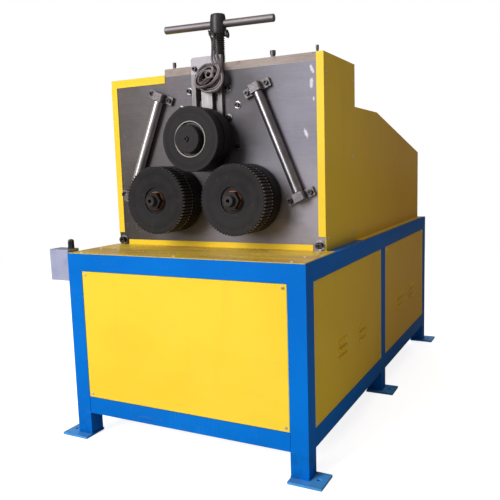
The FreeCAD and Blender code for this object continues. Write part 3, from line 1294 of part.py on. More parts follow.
def cable_loop():
    """Tube of straight runs joined by tangent arcs, each arc as large as its runs allow."""
    base = FreeCAD.Vector(amount(MIDDLE), amount(SCREW_Y), 0)
    points = [base + FreeCAD.Vector(x, y, z) for x, y, z in LOOP]
    edges = []
    start = points[0]
    radii = []
    for before, corner, after in zip(points, points[1:], points[2:]):
        back = (before - corner).normalize()
        ahead = (after - corner).normalize()
        run = 0.45 * min((before - corner).Length, (after - corner).Length)
        turn = math.pi - back.getAngle(ahead)
        radius = run / math.tan(turn / 2)
        radii.append(radius)
        bisector = (back + ahead).normalize()
        middle = corner + bisector * (radius / math.cos(turn / 2) - radius)
        enter = corner + back * run
        leave = corner + ahead * run
        edges.append(Part.LineSegment(start, enter).toShape())
        edges.append(Part.Arc(enter, middle, leave).toShape())
        start = leave
    edges.append(Part.LineSegment(start, points[-1]).toShape())
    path = Part.Wire(edges)
    radius = amount("cable_diameter") / 2
    across = Part.Wire(Part.Circle(points[0], (points[1] - points[0]).normalize(), radius).toShape())
    tube = path.makePipeShell([across], True, False)
    expected = math.pi * radius ** 2 * path.Length
    print("cable loop: length %.0f, tightest arc %.1f, volume %.4f of section times length"
          % (path.Length, min(radii), tube.Volume / expected))
    feature = doc.addObject("Part::Feature", "cable_loop")
    feature.Shape = tube
    subpart(feature, "cable_loop")


# ---------------------------------------------------------------- the whole machine

def build():
    base_frame()
    foot_plates()
    panels()
    tray()
    face_plate()
    bearing_plate()
    top_plate()
    side_cover("left_side_cover", -1, LEFT_TOP, f"({LEFT_TOP} - edge_flange)")
    side_cover("right_side_cover", 1, CAP_TOP, CAP_TOP)
    hood()
    guide_rail("guide_rail_left", True)
    guide_rail("guide_rail_right", False)
    guide_cap()
    feed_nut()
    slide_block()
    screw_keeper()
    feed_screw()
    screw_head()
    cross_bar()
    upper_roller()
    upper_bearings()
    upper_axle()
    bearing_cap()
    drive()
    shaft_bearings()
    reducer()
    motor()
    guide_rollers()
    fasteners()
    sheet_screws()
    controls()
    cable_coil()
    cable_loop()


def check_and_write():
    doc.recompute()
    for thing in doc.Objects:
        if "Invalid" in thing.State or "Error" in thing.State:
            raise RuntimeError(f"{thing.Name} ({thing.Label}) failed: {thing.State}")
    os.makedirs("parts", exist_ok=True)
    facets = 0
    for thing in subparts:
        shape = thing.Shape
        if shape.isNull() or not shape.isValid():
            raise RuntimeError(f"{thing.Label} has no valid shape")
        shape.exportStep(f"parts/{thing.Label}.step")
        count = len(shape.tessellate(0.5)[1])
        facets += count
        print("%-22s %2d solids %9.0f mm3 %5d facets" % (thing.Label, len(shape.Solids), shape.Volume, count))
    print(len(subparts), "sub-parts,", facets, "facets")


build()
check_and_write()
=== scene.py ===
# %% [markdown]
# # A ring roller, dressed for its picture
#
# A ring roller bends bar and tube into rings. Two geared rollers carry the bar, and a third
# roller, fed down by a large screw, presses it into a curve. The solids arrive ready-made and in
# place, so what is left is what paint, grinding, oil and daily use do to them, together with the
# small things that are quicker in a mesh: a thread, screw heads, weld beads and a spare cable.

# %% Load the frame
import math
import random
import bmesh
import bpy
from mathutils import Matrix, Vector


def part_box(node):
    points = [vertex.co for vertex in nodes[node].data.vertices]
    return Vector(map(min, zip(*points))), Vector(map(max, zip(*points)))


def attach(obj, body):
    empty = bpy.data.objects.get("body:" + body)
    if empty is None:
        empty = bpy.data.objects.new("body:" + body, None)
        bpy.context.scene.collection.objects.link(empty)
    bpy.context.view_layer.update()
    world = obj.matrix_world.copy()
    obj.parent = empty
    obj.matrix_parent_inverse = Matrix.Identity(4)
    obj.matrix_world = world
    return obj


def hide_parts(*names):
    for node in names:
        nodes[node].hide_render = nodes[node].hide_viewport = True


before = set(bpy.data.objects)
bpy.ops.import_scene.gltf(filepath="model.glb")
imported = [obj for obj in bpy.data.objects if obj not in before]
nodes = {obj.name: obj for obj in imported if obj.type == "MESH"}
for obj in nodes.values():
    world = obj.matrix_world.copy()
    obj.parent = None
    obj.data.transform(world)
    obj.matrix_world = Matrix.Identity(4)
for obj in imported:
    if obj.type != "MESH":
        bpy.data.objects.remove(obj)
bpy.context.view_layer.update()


def add_object(name, data):
    made = bpy.data.objects.new(name, data)
    bpy.context.scene.collection.objects.link(made)
    return made


# %% [markdown]
# ## The camera
#
# The machine is seen from its right front, from a little above the rollers' height, by a person
# who stands about two metres away. A camera is easiest to place by three turns: the heading,
# the downward pitch and a small roll, as a hand-held camera is never quite level.

# %% Place the camera
heading, pitch, lean = math.radians(27.179), math.radians(-7.482), math.radians(-1.694)
camera = add_object("camera", bpy.data.cameras.new("camera"))
camera.data.sensor_width = 36
camera.data.lens = 44.117
camera.matrix_world = (Matrix.Translation((1.09994, -2.46043, 0.93866))
                       @ Matrix.Rotation(heading, 4, "Z")
                       @ Matrix.Rotation(math.radians(90) + pitch, 4, "X")
                       @ Matrix.Rotation(lean, 4, "Z"))
bpy.context.scene.camera = camera
print("lens", camera.data.lens, "mm")

# %% [markdown]
# ## Shader arithmetic
#
# A finish is mostly arithmetic on a few patterns: rust where a slow noise is high, scratches
# where a stretched noise is thin. Written as nodes that is unreadable, so one small class wraps a
# socket and lets it be added, multiplied and compared like a number. A second class fills a node
# tree, and a third is a material: it holds the patterns and the constants of its shader.

# %% A socket that can be calculated with
class Wire:
    """One output socket of a node in a workshop."""

    def __init__(self, workshop, socket):
        self.workshop = workshop
        self.socket = socket

    def maths(self, operation, first, second=None):
        inputs = {0: first} if second is None else {0: first, 1: second}
        return self.workshop.node("ShaderNodeMath", {"operation": operation}, inputs)

    def __abs__(self):
        return self.maths("ABSOLUTE", self)


def arithmetic(operation, reflected):
    """A method for one sign; reflected is for a plain number on the left of it."""
    def method(self, other):
        return self.maths(operation, *((other, self) if reflected else (self, other)))
    return method


signs = {"add": "ADD", "sub": "SUBTRACT", "mul": "MULTIPLY", "truediv": "DIVIDE", "pow": "POWER"}
for sign, operation in signs.items():
    setattr(Wire, f"__{sign}__", arithmetic(operation, False))
    setattr(Wire, f"__r{sign}__", arithmetic(operation, True))
print("a wire knows", len(signs), "signs")


# %% Workshop and finish: a node tree, and a material, that are built from wires
class Workshop:
    """The emptied node tree of a material or a world."""

    def __init__(self, owner):
        owner.use_nodes = True
        self.tree = owner.node_tree
        self.tree.nodes.clear()

    def node(self, kind, settings=None, inputs=None, output=0):
        """Adds a node: its settings first, then the values or wires of its sockets."""
        made = self.tree.nodes.new(kind)
        for name, value in (settings or {}).items():
            setattr(made, name, value)
        for name, value in (inputs or {}).items():
            self.connect(value, made.inputs[name])
        return Wire(self, made.outputs[output]) if made.outputs else made

    def connect(self, value, socket):
        if isinstance(value, Wire):
            self.tree.links.new(value.socket, socket)
        elif isinstance(value, (int, float)):
            socket.default_value = value
        else:
            room = len(socket.default_value)
            socket.default_value = (*value, 1)[:room]


class Finish(Workshop):
    """One material: its shader and the patterns it is made of."""

    def __init__(self, name, **constants):
        self.material = bpy.data.materials.new(name)
        super().__init__(self.material)
        self.shader = self.tree.nodes.new("ShaderNodeBsdfPrincipled")
        self.output = self.tree.nodes.new("ShaderNodeOutputMaterial")
        self.tree.links.new(self.shader.outputs[0], self.output.inputs[0])
        for socket, value in constants.items():
            self.shader.inputs[socket.replace("_", " ")].default_value = value
        self.place = self.node("ShaderNodeTexCoord", output="Object")

    def feed(self, **wires):
        """Connects wires or values to the shader's sockets."""
        for socket, value in wires.items():
            self.connect(value, self.shader.inputs[socket.replace("_", " ")])
        return self

    def noise(self, scale, detail=3, stretch=(1, 1, 1), roughness=0.55):
        """Cloudy noise around 0.5; stretch multiplies the place before it is looked up."""
        multiply = {"operation": "MULTIPLY"}
        where = self.node("ShaderNodeVectorMath", multiply, {0: self.place, 1: stretch})
        inputs = {"Vector": where, "Scale": scale, "Detail": detail, "Roughness": roughness}
        return self.node("ShaderNodeTexNoise", inputs=inputs)

    def line_noise(self, along, scale, detail=2):
        """Noise that varies along one number only, which gives rings and straight streaks."""
        return self.node("ShaderNodeTexNoise", {"noise_dimensions": "1D"},
                         {"W": along, "Scale": scale, "Detail": detail})

    def cells(self, scale):
        return self.node("ShaderNodeTexVoronoi", inputs={"Vector": self.place, "Scale": scale})

    def between(self, value, low, high):
        """0 below low, 1 above high, and a smooth step in between."""
        inputs = {"Value": value, "From Min": low, "From Max": high}
        return self.node("ShaderNodeMapRange", {"interpolation_type": "SMOOTHSTEP"}, inputs)

    def patches(self, low, high, scale, detail=3, stretch=(1, 1, 1)):
        """Cloudy noise cut to patches: 0 where it is below low, 1 where it is above high."""
        return self.between(self.noise(scale, detail, stretch), low, high)

    def blend(self, share, first, second):
        """The first colour where the share is 0, the second where it is 1."""
        mix = {"data_type": "RGBA", "clamp_factor": True}
        return self.node("ShaderNodeMix", mix, {0: share, 6: first, 7: second}, output=2)

    def part_of(self, axis):
        """The place along X, Y or Z: 0, 1 or 2."""
        return self.node("ShaderNodeSeparateXYZ", inputs={0: self.place}, output=axis)

    def facing(self, axis):
        """How much the surface looks along an axis: 1 along it, -1 against it."""
        normal = self.node("ShaderNodeNewGeometry", output="Normal")
        return self.node("ShaderNodeSeparateXYZ", inputs={0: normal}, output=axis)

    def radius_from(self, centre):
        """Distance from a line through the centre; None in the centre is the line's direction."""
        squares = [(self.part_of(axis) - value) ** 2.0
                   for axis, value in enumerate(centre) if value is not None]
        return (squares[0] + squares[1]) ** 0.5

    def dot(self, first, second):
        inputs = {0: first, 1: second}
        return self.node("ShaderNodeVectorMath", {"operation": "DOT_PRODUCT"}, inputs, output="Value")

    def hairs(self, scale, stretch, width=0.010):
        """Fine broken scratches: 1 on a line where a stretched noise crosses its middle."""
        field = self.noise(scale, 1, stretch)
        line = 1.0 - self.between(abs(field - 0.5), 0.0, width)
        return line * self.patches(0.50, 0.62, scale * 0.7, 2)

    def edges(self, radius):
        """1 on sharp edges, 0 on open surfaces, from how a rounded normal differs from the true one."""
        rounded = self.node("ShaderNodeBevel", {"samples": 4}, {"Radius": radius})
        true = self.node("ShaderNodeNewGeometry", output="Normal")
        return self.between(1.0 - self.dot(rounded, true), 0.02, 0.22)

    def corner_shade(self, distance):
        """1 deep in corners and gaps, 0 on open surfaces: where shade is painted."""
        reach = {"Distance": distance}
        open_sky = self.node("ShaderNodeAmbientOcclusion", {"samples": 6}, reach, output="AO")
        return 1.0 - self.between(open_sky, 0.10, 0.85)

    def bump(self, height, distance, strength=1.0, below=None):
        inputs = {"Height": height, "Distance": distance, "Strength": strength}
        if below is not None:
            inputs["Normal"] = below
        return self.node("ShaderNodeBump", inputs=inputs, output="Normal")


def dress(finish, *names):
    """Gives solids a finish in place of the plain one they arrive with."""
    for name in names:
        for slot in nodes[name].material_slots:
            slot.material = finish.material


print("shader arithmetic ready")

# %% [markdown]
# ## Paint
#
# The frame is blue and the sheets are yellow, both in gloss enamel from a spray gun. Up close such
# paint is never flat: it has the fine dimples of orange peel, it has faded in clouds, water has
# left faint runs down the walls, dust lies on every ledge and boots have greyed the lowest part.
# Walls that face right are painted darker towards the back, and corners and gaps darker still: painted
# shade. The deck's level top gets darker streaks, painted shade with some dirt. All of this is one
# function with other colours.

# %% Enamel in two colours
def enamel(name, clean, faded, grime_and_shade, dust, roughness=0.32, wear=0.5, top=None, shine=0.09):
    """Gloss paint; top is a darker colour streaked over level faces, painted shade with some dirt, and wear
    the share of chipped edges.
    """
    paint = Finish(name, Specular_IOR_Level=shine)
    clouds = paint.noise(1.9, 3, (1, 1, 1.6))
    colour = paint.blend(paint.between(clouds, 0.36, 0.66), clean, faded)
    runs = paint.patches(0.54, 0.80, 11, 4, (1, 1, 0.14))
    colour = paint.blend(0.12 * runs, colour, grime_and_shade)
    scuffed = 1.0 - paint.between(paint.part_of(2), 0.02, 0.15)
    colour = paint.blend(0.4 * scuffed * paint.patches(0.42, 0.62, 30, 4), colour, grime_and_shade)
    # Walls that face right, painted darker towards the back: painted shade.
    right_wall_shade = paint.between(paint.part_of(1), -0.95, 0.60) * paint.between(paint.facing(0), 0.6, 0.9)
    colour = paint.blend(0.72 * right_wall_shade * (0.6 + 0.4 * clouds), colour, grime_and_shade)
    # Painted shade in corners and gaps, in patches.
    shaded_corner = paint.corner_shade(0.025) * paint.patches(0.36, 0.60, 24, 4)
    colour = paint.blend(0.22 * shaded_corner, colour, grime_and_shade)
    ledge = paint.between(paint.facing(2), 0.75, 0.98)
    # Level faces get darker streaks: painted shade, with some dirt.
    if top:
        streak = paint.noise(5, 4, (0.7, 4.0, 1.0))
        colour = paint.blend(ledge * paint.between(streak, 0.34, 0.62), colour, top)
    specks = paint.patches(0.48, 0.70, 130, 4)
    lying = ledge * (0.04 + 0.12 * specks * paint.patches(0.40, 0.64, 5, 2))
    colour = paint.blend(lying, colour, dust)
    scratch = paint.hairs(7, (1.0, 1.0, 9.0)) + paint.hairs(6, (9.0, 1.0, 1.0))
    colour = paint.blend(0.18 * scratch, colour, dust)
    bare = paint.edges(0.0012) * paint.patches(0.60 - 0.12 * wear, 0.66, 60, 4)
    colour = paint.blend(wear * bare, colour, (0.10, 0.10, 0.10))
    gloss = roughness + 0.14 * (clouds - 0.5) + 0.30 * lying + 0.12 * scratch + 0.15 * bare
    peel = paint.bump(paint.noise(520, 2), 0.00012, 0.5)
    return paint.feed(Base_Color=colour, Roughness=gloss, Normal=paint.bump(scratch, 0.00005, 0.4, peel))


blue_paint = enamel("blue_enamel", (0.0008, 0.160, 0.640), (0.0012, 0.184, 0.710),
                    (0.006, 0.075, 0.220), (0.16, 0.22, 0.31), shine=0.04)
dress(blue_paint, "frame_posts", "top_rails_across", "top_rails_along", "bottom_rails", "deck_beams")
foot_paint = enamel("foot_enamel", (0.062, 0.38, 0.93), (0.10, 0.44, 0.94), (0.10, 0.20, 0.34),
                    (0.30, 0.33, 0.38), roughness=0.42, wear=0.9)
dress(foot_paint, "foot_plates")
yellow_paint = enamel("yellow_enamel", (0.930, 0.660, 0.042), (0.985, 0.715, 0.052), (0.55, 0.25, 0.03),
                      (0.80, 0.68, 0.34))
dress(yellow_paint, "front_panel", "rear_panel", "right_front_panel", "right_rear_panel",
      "left_front_panel", "left_rear_panel", "left_side_cover", "right_side_cover", "left_top_cover",
      "rear_hood")
# The deck tray's level top is streaked darker: painted shade, with some dirt.
tray_paint = enamel("tray_enamel", (0.93, 0.660, 0.042), (0.98, 0.71, 0.050), (0.46, 0.25, 0.03),
                    (0.72, 0.52, 0.22), roughness=0.24, wear=0.8, top=(0.70, 0.43, 0.075))
dress(tray_paint, "deck_tray")
print("enamel:", blue_paint.material.name, yellow_paint.material.name)

# %% Satin paint of the control box, hammered paint of the drive
satin = Finish("box_enamel", Coat_Weight=0.05)
haze = satin.noise(18, 3)
shade = satin.blend(satin.between(haze, 0.35, 0.65), (0.31, 0.34, 0.52), (0.38, 0.41, 0.58))
# Level tops painted darker: painted shade.
shade = satin.blend(0.35 * satin.between(satin.facing(2), 0.75, 0.98), shade, (0.10, 0.12, 0.17))
rubbed = satin.edges(0.0015) * satin.patches(0.42, 0.60, 90, 3)
shade = satin.blend(0.8 * rubbed, shade, (0.07, 0.07, 0.09))
satin.feed(Base_Color=shade, Roughness=0.42 + 0.12 * (haze - 0.5),
           Normal=satin.bump(satin.noise(700, 2), 0.00010, 0.6))
dress(satin, "control_box")

hammered = Finish("hammered_paint", Coat_Weight=0.3, Coat_Roughness=0.15)
dents = hammered.cells(240)
oil = hammered.patches(0.50, 0.72, 6, 4)
shade = hammered.blend(hammered.between(dents, 0.1, 0.6), (0.060, 0.105, 0.140), (0.100, 0.160, 0.205))
shade = hammered.blend(0.6 * oil, shade, (0.020, 0.022, 0.024))
hammered.feed(Base_Color=shade, Roughness=0.34 - 0.10 * oil, Normal=hammered.bump(dents, 0.0006, 0.5))
dress(hammered, "gear_reducer", "drive_motor")
print("drive and box painted")

# %% [markdown]
# ## Bare steel
#
# The working parts are not painted. Flat ones are ground, which leaves straight fine lines and
# cloudy marks where coolant and hands dried. Turned ones carry rings about their axis, so their
# pattern is worked out from the distance to that axis. On ground flats, corners and gaps are painted
# nearly black as painted shade, and where air and hands reach, a little rust shows.

# %% Ground flats
def ground(name, dark, light, stretch, roughness, metal=0.75, rust=0.15, shade_reach=0.022):
    """Ground steel; stretch sets the grinding lines, the last argument how far the painted shade of a corner
    reaches.
    """
    steel = Finish(name)
    lines = steel.noise(1.0, 4, stretch, 0.7)
    clouds = steel.noise(7, 4)
    colour = steel.blend(steel.between(0.55 * lines + 0.45 * clouds, 0.36, 0.64), dark, light)
    rusty = steel.patches(0.60, 0.74, 22, 5)
    colour = steel.blend(rust * rusty, colour, (0.20, 0.085, 0.035))
    # Painted shade: corners and gaps go nearly black.
    colour = steel.blend(0.92 * steel.corner_shade(shade_reach), colour, (0.014, 0.012, 0.012))
    worn = steel.edges(0.0010)
    colour = steel.blend(0.45 * worn, colour, (0.80, 0.79, 0.80))
    rough = roughness + 0.16 * (clouds - 0.5) + 0.25 * rust * rusty
    return steel.feed(Base_Color=colour, Roughness=rough, Metallic=metal - 0.5 * rust * rusty,
                      Normal=steel.bump(lines, 0.00005, 0.5))


upright_lines = (240, 240, 14)
bright_steel = ground("bright_ground_steel", (0.25, 0.24, 0.245), (0.46, 0.44, 0.46),
                      upright_lines, 0.42, 0.30, shade_reach=0.050)
dress(bright_steel, "slide_block", "screw_keeper")
rail_steel = ground("rail_steel", (0.125, 0.115, 0.121), (0.262, 0.243, 0.254), upright_lines, 0.45, 0.30)
dress(rail_steel, "guide_rail_left", "guide_rail_right")
cap_steel = ground("cap_steel", (0.33, 0.305, 0.34), (0.46, 0.43, 0.475), (160, 160, 160), 0.50, 0.2)
dress(cap_steel, "guide_cap")
block_steel = ground("bracket_steel", (0.080, 0.070, 0.075), (0.225, 0.205, 0.225),
                     (90, 90, 300), 0.45, 0.35, 0.35)
dress(block_steel, "guide_brackets")
edge_steel = ground("top_plate_steel", (0.22, 0.180, 0.158), (0.38, 0.315, 0.285),
                    (12, 12, 260), 0.55, 0.15, 0.35)
dress(edge_steel, "top_plate")
inner_steel = ground("bearing_plate_steel", (0.20, 0.19, 0.19), (0.33, 0.32, 0.33), (5, 200, 160), 0.45)
dress(inner_steel, "bearing_plate")
print("ground steel ready")

# %% The face plate
# Brownish and dark at the left, with drips of oil; bluish and pale at the right, and painted lighter low
# down there as a pool of light. A shadow is painted beside the slide and shade round the rollers,
# and somebody has left four smears and a tick of chalk.
plate = Finish("face_plate_steel", Metallic=0.12)
grind = plate.noise(1.0, 5, (7, 7, 190), 0.7)
mottle = plate.noise(4.5, 5, (1, 1, 1.3), 0.62)
across = plate.between(plate.part_of(0), -0.48, 0.42)
up = plate.part_of(2)
deep = plate.blend(across, (0.062, 0.050, 0.048), (0.170, 0.163, 0.206))
pale = plate.blend(across, (0.112, 0.092, 0.089), (0.236, 0.228, 0.292))
colour = plate.blend(plate.between(0.74 * mottle + 0.26 * grind, 0.38, 0.62), deep, pale)
oil = (1.0 - plate.between(up, 0.78, 1.02)) * plate.patches(0.36, 0.60, 6, 4)
oily = plate.blend(across, (0.020, 0.016, 0.012), (0.300, 0.275, 0.265))
colour = plate.blend(0.65 * oil, colour, oily)
# Lower right painted lighter: a painted pool of light.
low_right_light = across * (1.0 - plate.between(up, 0.84, 1.06)) * plate.between(mottle, 0.25, 0.55)
colour = plate.blend(0.60 * low_right_light, colour, (0.350, 0.330, 0.380))
sunk = (1.0 - across) * (1.0 - plate.between(up, 0.85, 1.10)) * plate.between(mottle, 0.20, 0.50)
colour = plate.blend(0.55 * sunk, colour, (0.026, 0.022, 0.018))
drip = plate.patches(0.52, 0.74, 9, 3, (1, 1, 0.14)) * (1.0 - across)
colour = plate.blend(0.45 * drip, colour, (0.070, 0.055, 0.050))
# A painted shadow in a band to the right of the slide and rails.
beside = plate.between(plate.part_of(0), 0.02, 0.08)
beside = beside * (1.0 - plate.between(plate.part_of(0), 0.15, 0.30))
slide_shadow = beside * plate.between(up, 0.93, 1.03) * plate.between(mottle, 0.25, 0.60)
colour = plate.blend(0.80 * slide_shadow, colour, (0.040, 0.034, 0.038))
# Painted shade round the rollers, brackets and bolts.
colour = plate.blend(0.54 * plate.corner_shade(0.085), colour, (0.040, 0.034, 0.038))
# Place (x, z), slope, and half the length and width of each smear.
chalk = ((0.374, 1.250, -0.30, 0.015, 0.0060), (0.372, 1.207, 0.06, 0.018, 0.0068),
         (0.379, 1.157, 0.0, 0.007, 0.0030), (0.351, 1.050, -0.35, 0.015, 0.0062),
         (0.392, 1.225, 0.05, 0.016, 0.0020))
smears = None
for x, z, slope, long, wide in chalk:
    side = (plate.part_of(0) - x) - slope * (up - z)
    spot = ((side / wide) ** 2.0 + ((up - z) / long) ** 2.0) ** 0.5
    mark = 1.0 - plate.between(spot + 1.2 * (plate.noise(110, 4) - 0.5), 0.50, 1.15)
    smears = mark if smears is None else smears + mark
colour = plate.blend(0.85 * smears, colour, (0.80, 0.78, 0.86))
lines = plate.hairs(4, (1.0, 1.0, 14.0), 0.006) + plate.hairs(5, (12.0, 1.0, 2.0), 0.006)
colour = plate.blend(0.20 * lines, colour, (0.55, 0.53, 0.57))
colour = plate.blend(0.5 * plate.edges(0.0012), colour, (0.60, 0.58, 0.60))
plate.feed(Base_Color=colour, Roughness=0.52 + 0.24 * (mottle - 0.5) - 0.16 * oil + 0.2 * smears,
           Normal=plate.bump(grind, 0.00005, 0.4))
dress(plate, "face_plate")
print("face plate done")

# %% Turned steel
def turned(name, centre, dark, light, roughness, metal=0.6, scale=900, worn=(0.50, 0.48, 0.48),
           wear=0.6):
    """Rings about an axis through the centre; the None in the centre is the axis."""
    steel = Finish(name, Specular_IOR_Level=0.15)
    oily = 0.4
    axis = centre.index(None)
    radius = steel.radius_from(centre)
    rings = steel.line_noise(radius + 0.83 * steel.part_of(axis), scale, 3)
    broad = steel.line_noise(radius - 0.6 * steel.part_of(axis), scale / 14, 2)
    clouds = steel.noise(26, 4)
    mixed = 0.4 * rings + 0.3 * broad + 0.3 * clouds
    colour = steel.blend(steel.between(mixed, 0.38, 0.62), dark, light)
    smudge = steel.patches(0.52, 0.70, 17, 4)
    colour = steel.blend(oily * smudge, colour, tuple(0.45 * part for part in dark))
    chipped = steel.edges(0.0011) * steel.patches(0.36, 0.58, 140, 4)
    colour = steel.blend(wear * chipped, colour, worn)
    rough = roughness + 0.20 * (clouds - 0.5) + 0.08 * (rings - 0.5) - 0.10 * oily * smudge
    return steel.feed(Base_Color=colour, Roughness=rough, Metallic=metal,
                      Normal=steel.bump(rings, 0.00006, 0.6))


middle, screw_y = -0.008, -0.498
left_x, right_x, lower_z, upper_z = middle - 0.1525, middle + 0.1525, 0.841, 1.044
black, black_light = (0.014, 0.0125, 0.014), (0.025, 0.0225, 0.025)
iron, iron_light = (0.10, 0.095, 0.10), (0.26, 0.25, 0.26)
copper, copper_light = (0.20, 0.066, 0.026), (0.42, 0.165, 0.075)
gear_dark, gear_light = (0.12, 0.11, 0.10), (0.34, 0.32, 0.31)

# The rim of the bearing's seat is the one bright line on the upper roller's front face: a polished rim,
# painted brighter as the highlight its chamfer catches.
upper_axis = (middle, None, upper_z)
upper_steel = turned("upper_roller_steel", upper_axis, black, black_light, 0.52, 0.0, wear=0.20)
distance = upper_steel.radius_from(upper_axis)
seat_highlight = upper_steel.between(distance, 0.0560, 0.0566)
seat_highlight = seat_highlight * (1.0 - upper_steel.between(distance, 0.0592, 0.0600))
seat_highlight = seat_highlight * (1.0 - upper_steel.between(upper_steel.part_of(1), -0.7134, -0.7126))
old_colour = Wire(upper_steel, upper_steel.shader.inputs["Base Color"].links[0].from_socket)
upper_steel.feed(Base_Color=upper_steel.blend(0.9 * seat_highlight, old_colour, (0.52, 0.47, 0.43)))
dress(upper_steel, "upper_roller")
dress(turned("cap_iron", upper_axis, (0.015, 0.0135, 0.015), (0.027, 0.024, 0.027), 0.50, 0.0,
             wear=0.25), "bearing_cap", "cap_bolt")
dress(turned("upper_axle_steel", upper_axis, iron, iron_light, 0.36), "upper_axle")
dress(turned("bearing_ring_steel", upper_axis, (0.02, 0.02, 0.022), (0.075, 0.072, 0.075), 0.42, 0.6),
      "upper_bearings")
for side, x in (("left", left_x), ("right", right_x)):
    axle = (x, None, lower_z)
    dress(turned(f"{side}_shaft_steel", axle, (0.016, 0.015, 0.015), (0.045, 0.042, 0.042), 0.42, 0.3,
                 wear=0.3), f"roller_shaft_{side}")
    dress(turned(f"{side}_copper", axle, copper, copper_light, 0.52, 0.5, 700, (0.52, 0.25, 0.15)),
          f"copper_washer_{side}")
    dress(turned(f"{side}_nut_iron", axle, (0.012, 0.011, 0.010), (0.032, 0.028, 0.026), 0.48, 0.2,
                 wear=0.25), f"shaft_nut_{side}")
    dress(turned(f"{side}_gear_steel", axle, gear_dark, gear_light, 0.30, 0.8), f"drive_gear_{side}")
dress(turned("pinion_steel", (middle, None, lower_z), gear_dark, gear_light, 0.30, 0.8), "pinion_shaft")
dress(turned("nut_bronze", (middle, screw_y, None), (0.16, 0.115, 0.07), (0.30, 0.23, 0.14), 0.40, 0.8),
      "feed_nut")
print("turned steel ready")

# %% Lower rollers: rings, painted shade between the teeth, and bright flecks on their tips: painted highlights and wear
tooth_root, tooth_top, tooth_end, roller_front = 0.1128, 0.1152, 0.0635, -0.716


def toothed_roller(name, x):
    """Steel of a lower roller; depth is counted back from its front face."""
    steel = Finish(name, Specular_IOR_Level=0.15)
    radius = steel.radius_from((x, None, lower_z))
    depth = steel.part_of(1) - roller_front
    rings = steel.line_noise(radius + 0.83 * depth, 900, 3)
    broad = steel.line_noise(radius, 60, 2)
    clouds = steel.noise(24, 4)
    mixed = 0.35 * rings + 0.30 * broad + 0.35 * clouds
    colour = steel.blend(steel.between(mixed, 0.38, 0.62), (0.0105, 0.0095, 0.0100), (0.0240, 0.0212, 0.0240))
    before_end = 1.0 - steel.between(depth, tooth_end, tooth_end + 0.001)
    rim = steel.between(radius, tooth_root, tooth_root + 0.0014) * before_end
    # Painted shade: the teeth are dark below their tops, in the gaps between them.
    colour = steel.blend(0.85 * rim, colour, (0.009, 0.009, 0.010))
    tip = steel.between(radius, tooth_top, tooth_top + 0.0012)
    colour = steel.blend(0.80 * tip * rim, colour, (0.072, 0.066, 0.074))
    # Bright flecks on the teeth near their front and rear ends: painted highlights, with some worn bare
    # steel.
    flecks = steel.patches(0.46, 0.58, 170, 3)
    front = 1.0 - steel.between(depth, 0.0060, 0.0120)
    rear = steel.between(depth, 0.0540, 0.0590) * before_end
    outward = 1.0 - steel.between(abs(steel.facing(1)), 0.50, 0.80)
    tooth_highlight = steel.between(radius, tooth_root + 0.0014, tooth_top) * outward * (0.35 + 0.65 * flecks)
    colour = steel.blend(tooth_highlight * (front + 0.7 * rear), colour, (0.42, 0.39, 0.42))
    handling_and_shade = steel.edges(0.0011) * steel.patches(0.40, 0.60, 110, 4) * (1.0 - rim)
    colour = steel.blend(0.4 * handling_and_shade, colour, (0.30, 0.28, 0.28))
    rust = steel.patches(0.62, 0.75, 30, 5)
    colour = steel.blend(0.35 * rust, colour, (0.075, 0.040, 0.026))
    return steel.feed(Base_Color=colour, Roughness=0.50 + 0.24 * (clouds - 0.5) + 0.1 * rim,
                      Normal=steel.bump(rings, 0.00007, 0.6))


for side, x in (("left", left_x), ("right", right_x)):
    dress(toothed_roller(f"{side}_toothed_steel", x), f"lower_roller_{side}")
print("toothed rollers ready")

# %% Polished guide rollers, their pins and the cross bar
def polished(name, start, end, dark, light, roughness, streak=26):
    """A ground bar: rings along its length, long streaks, and dull patches from handling."""
    steel = Finish(name, Metallic=0.95)
    direction = (Vector(end) - Vector(start)).normalized()
    along = steel.dot(steel.place, tuple(direction))
    rings = steel.line_noise(along, 1200, 3)
    bands = steel.line_noise(along, streak, 3)
    clouds = steel.noise(30, 4)
    colour = steel.blend(steel.between(0.30 * rings + 0.35 * bands + 0.35 * clouds, 0.38, 0.62), dark, light)
    rust = steel.patches(0.65, 0.74, 75, 5)
    colour = steel.blend(0.15 * rust, colour, (0.20, 0.12, 0.08))
    rough = roughness + 0.04 * (clouds - 0.5) + 0.12 * rust
    return steel.feed(Base_Color=colour, Roughness=rough, Normal=steel.bump(rings, 0.000004, 0.4))


# The two guide rollers are one chrome; the left is painted light and the right dark: painted light and shade.
for side, sign, dark, light in (("left", -1, (0.72, 0.71, 0.73), (0.86, 0.85, 0.87)),
                                ("right", 1, (0.24, 0.23, 0.25), (0.34, 0.33, 0.35))):
    foot = (middle + sign * 0.341, -0.6, 0.846)
    top = (middle + sign * 0.192, -0.6, 1.205)
    dress(polished(f"{side}_guide_chrome", foot, top, dark, light, 0.33, 9), f"guide_roller_{side}")
dress(polished("pin_steel", (0, 0, 0), (0, 0, 1), (0.40, 0.39, 0.40), (0.62, 0.60, 0.62), 0.25),
      "guide_pins")
dress(polished("bar_steel", (0, 0, 0), (0.995, 0.105, 0), (0.22, 0.203, 0.212), (0.27, 0.250, 0.261),
               0.56, 6), "cross_bar")
print("polished bars ready")

# %% Cast housings, black bolts and dull zinc washers
cast = Finish("cast_housing", Metallic=0.25)
grain = cast.noise(300, 4)
shade = cast.blend(cast.patches(0.4, 0.62, 9, 4), (0.16, 0.16, 0.165), (0.26, 0.26, 0.26))
cast.feed(Base_Color=shade, Roughness=0.55 + 0.2 * (grain - 0.5), Normal=cast.bump(grain, 0.0004, 0.6))
dress(cast, "shaft_bearings")

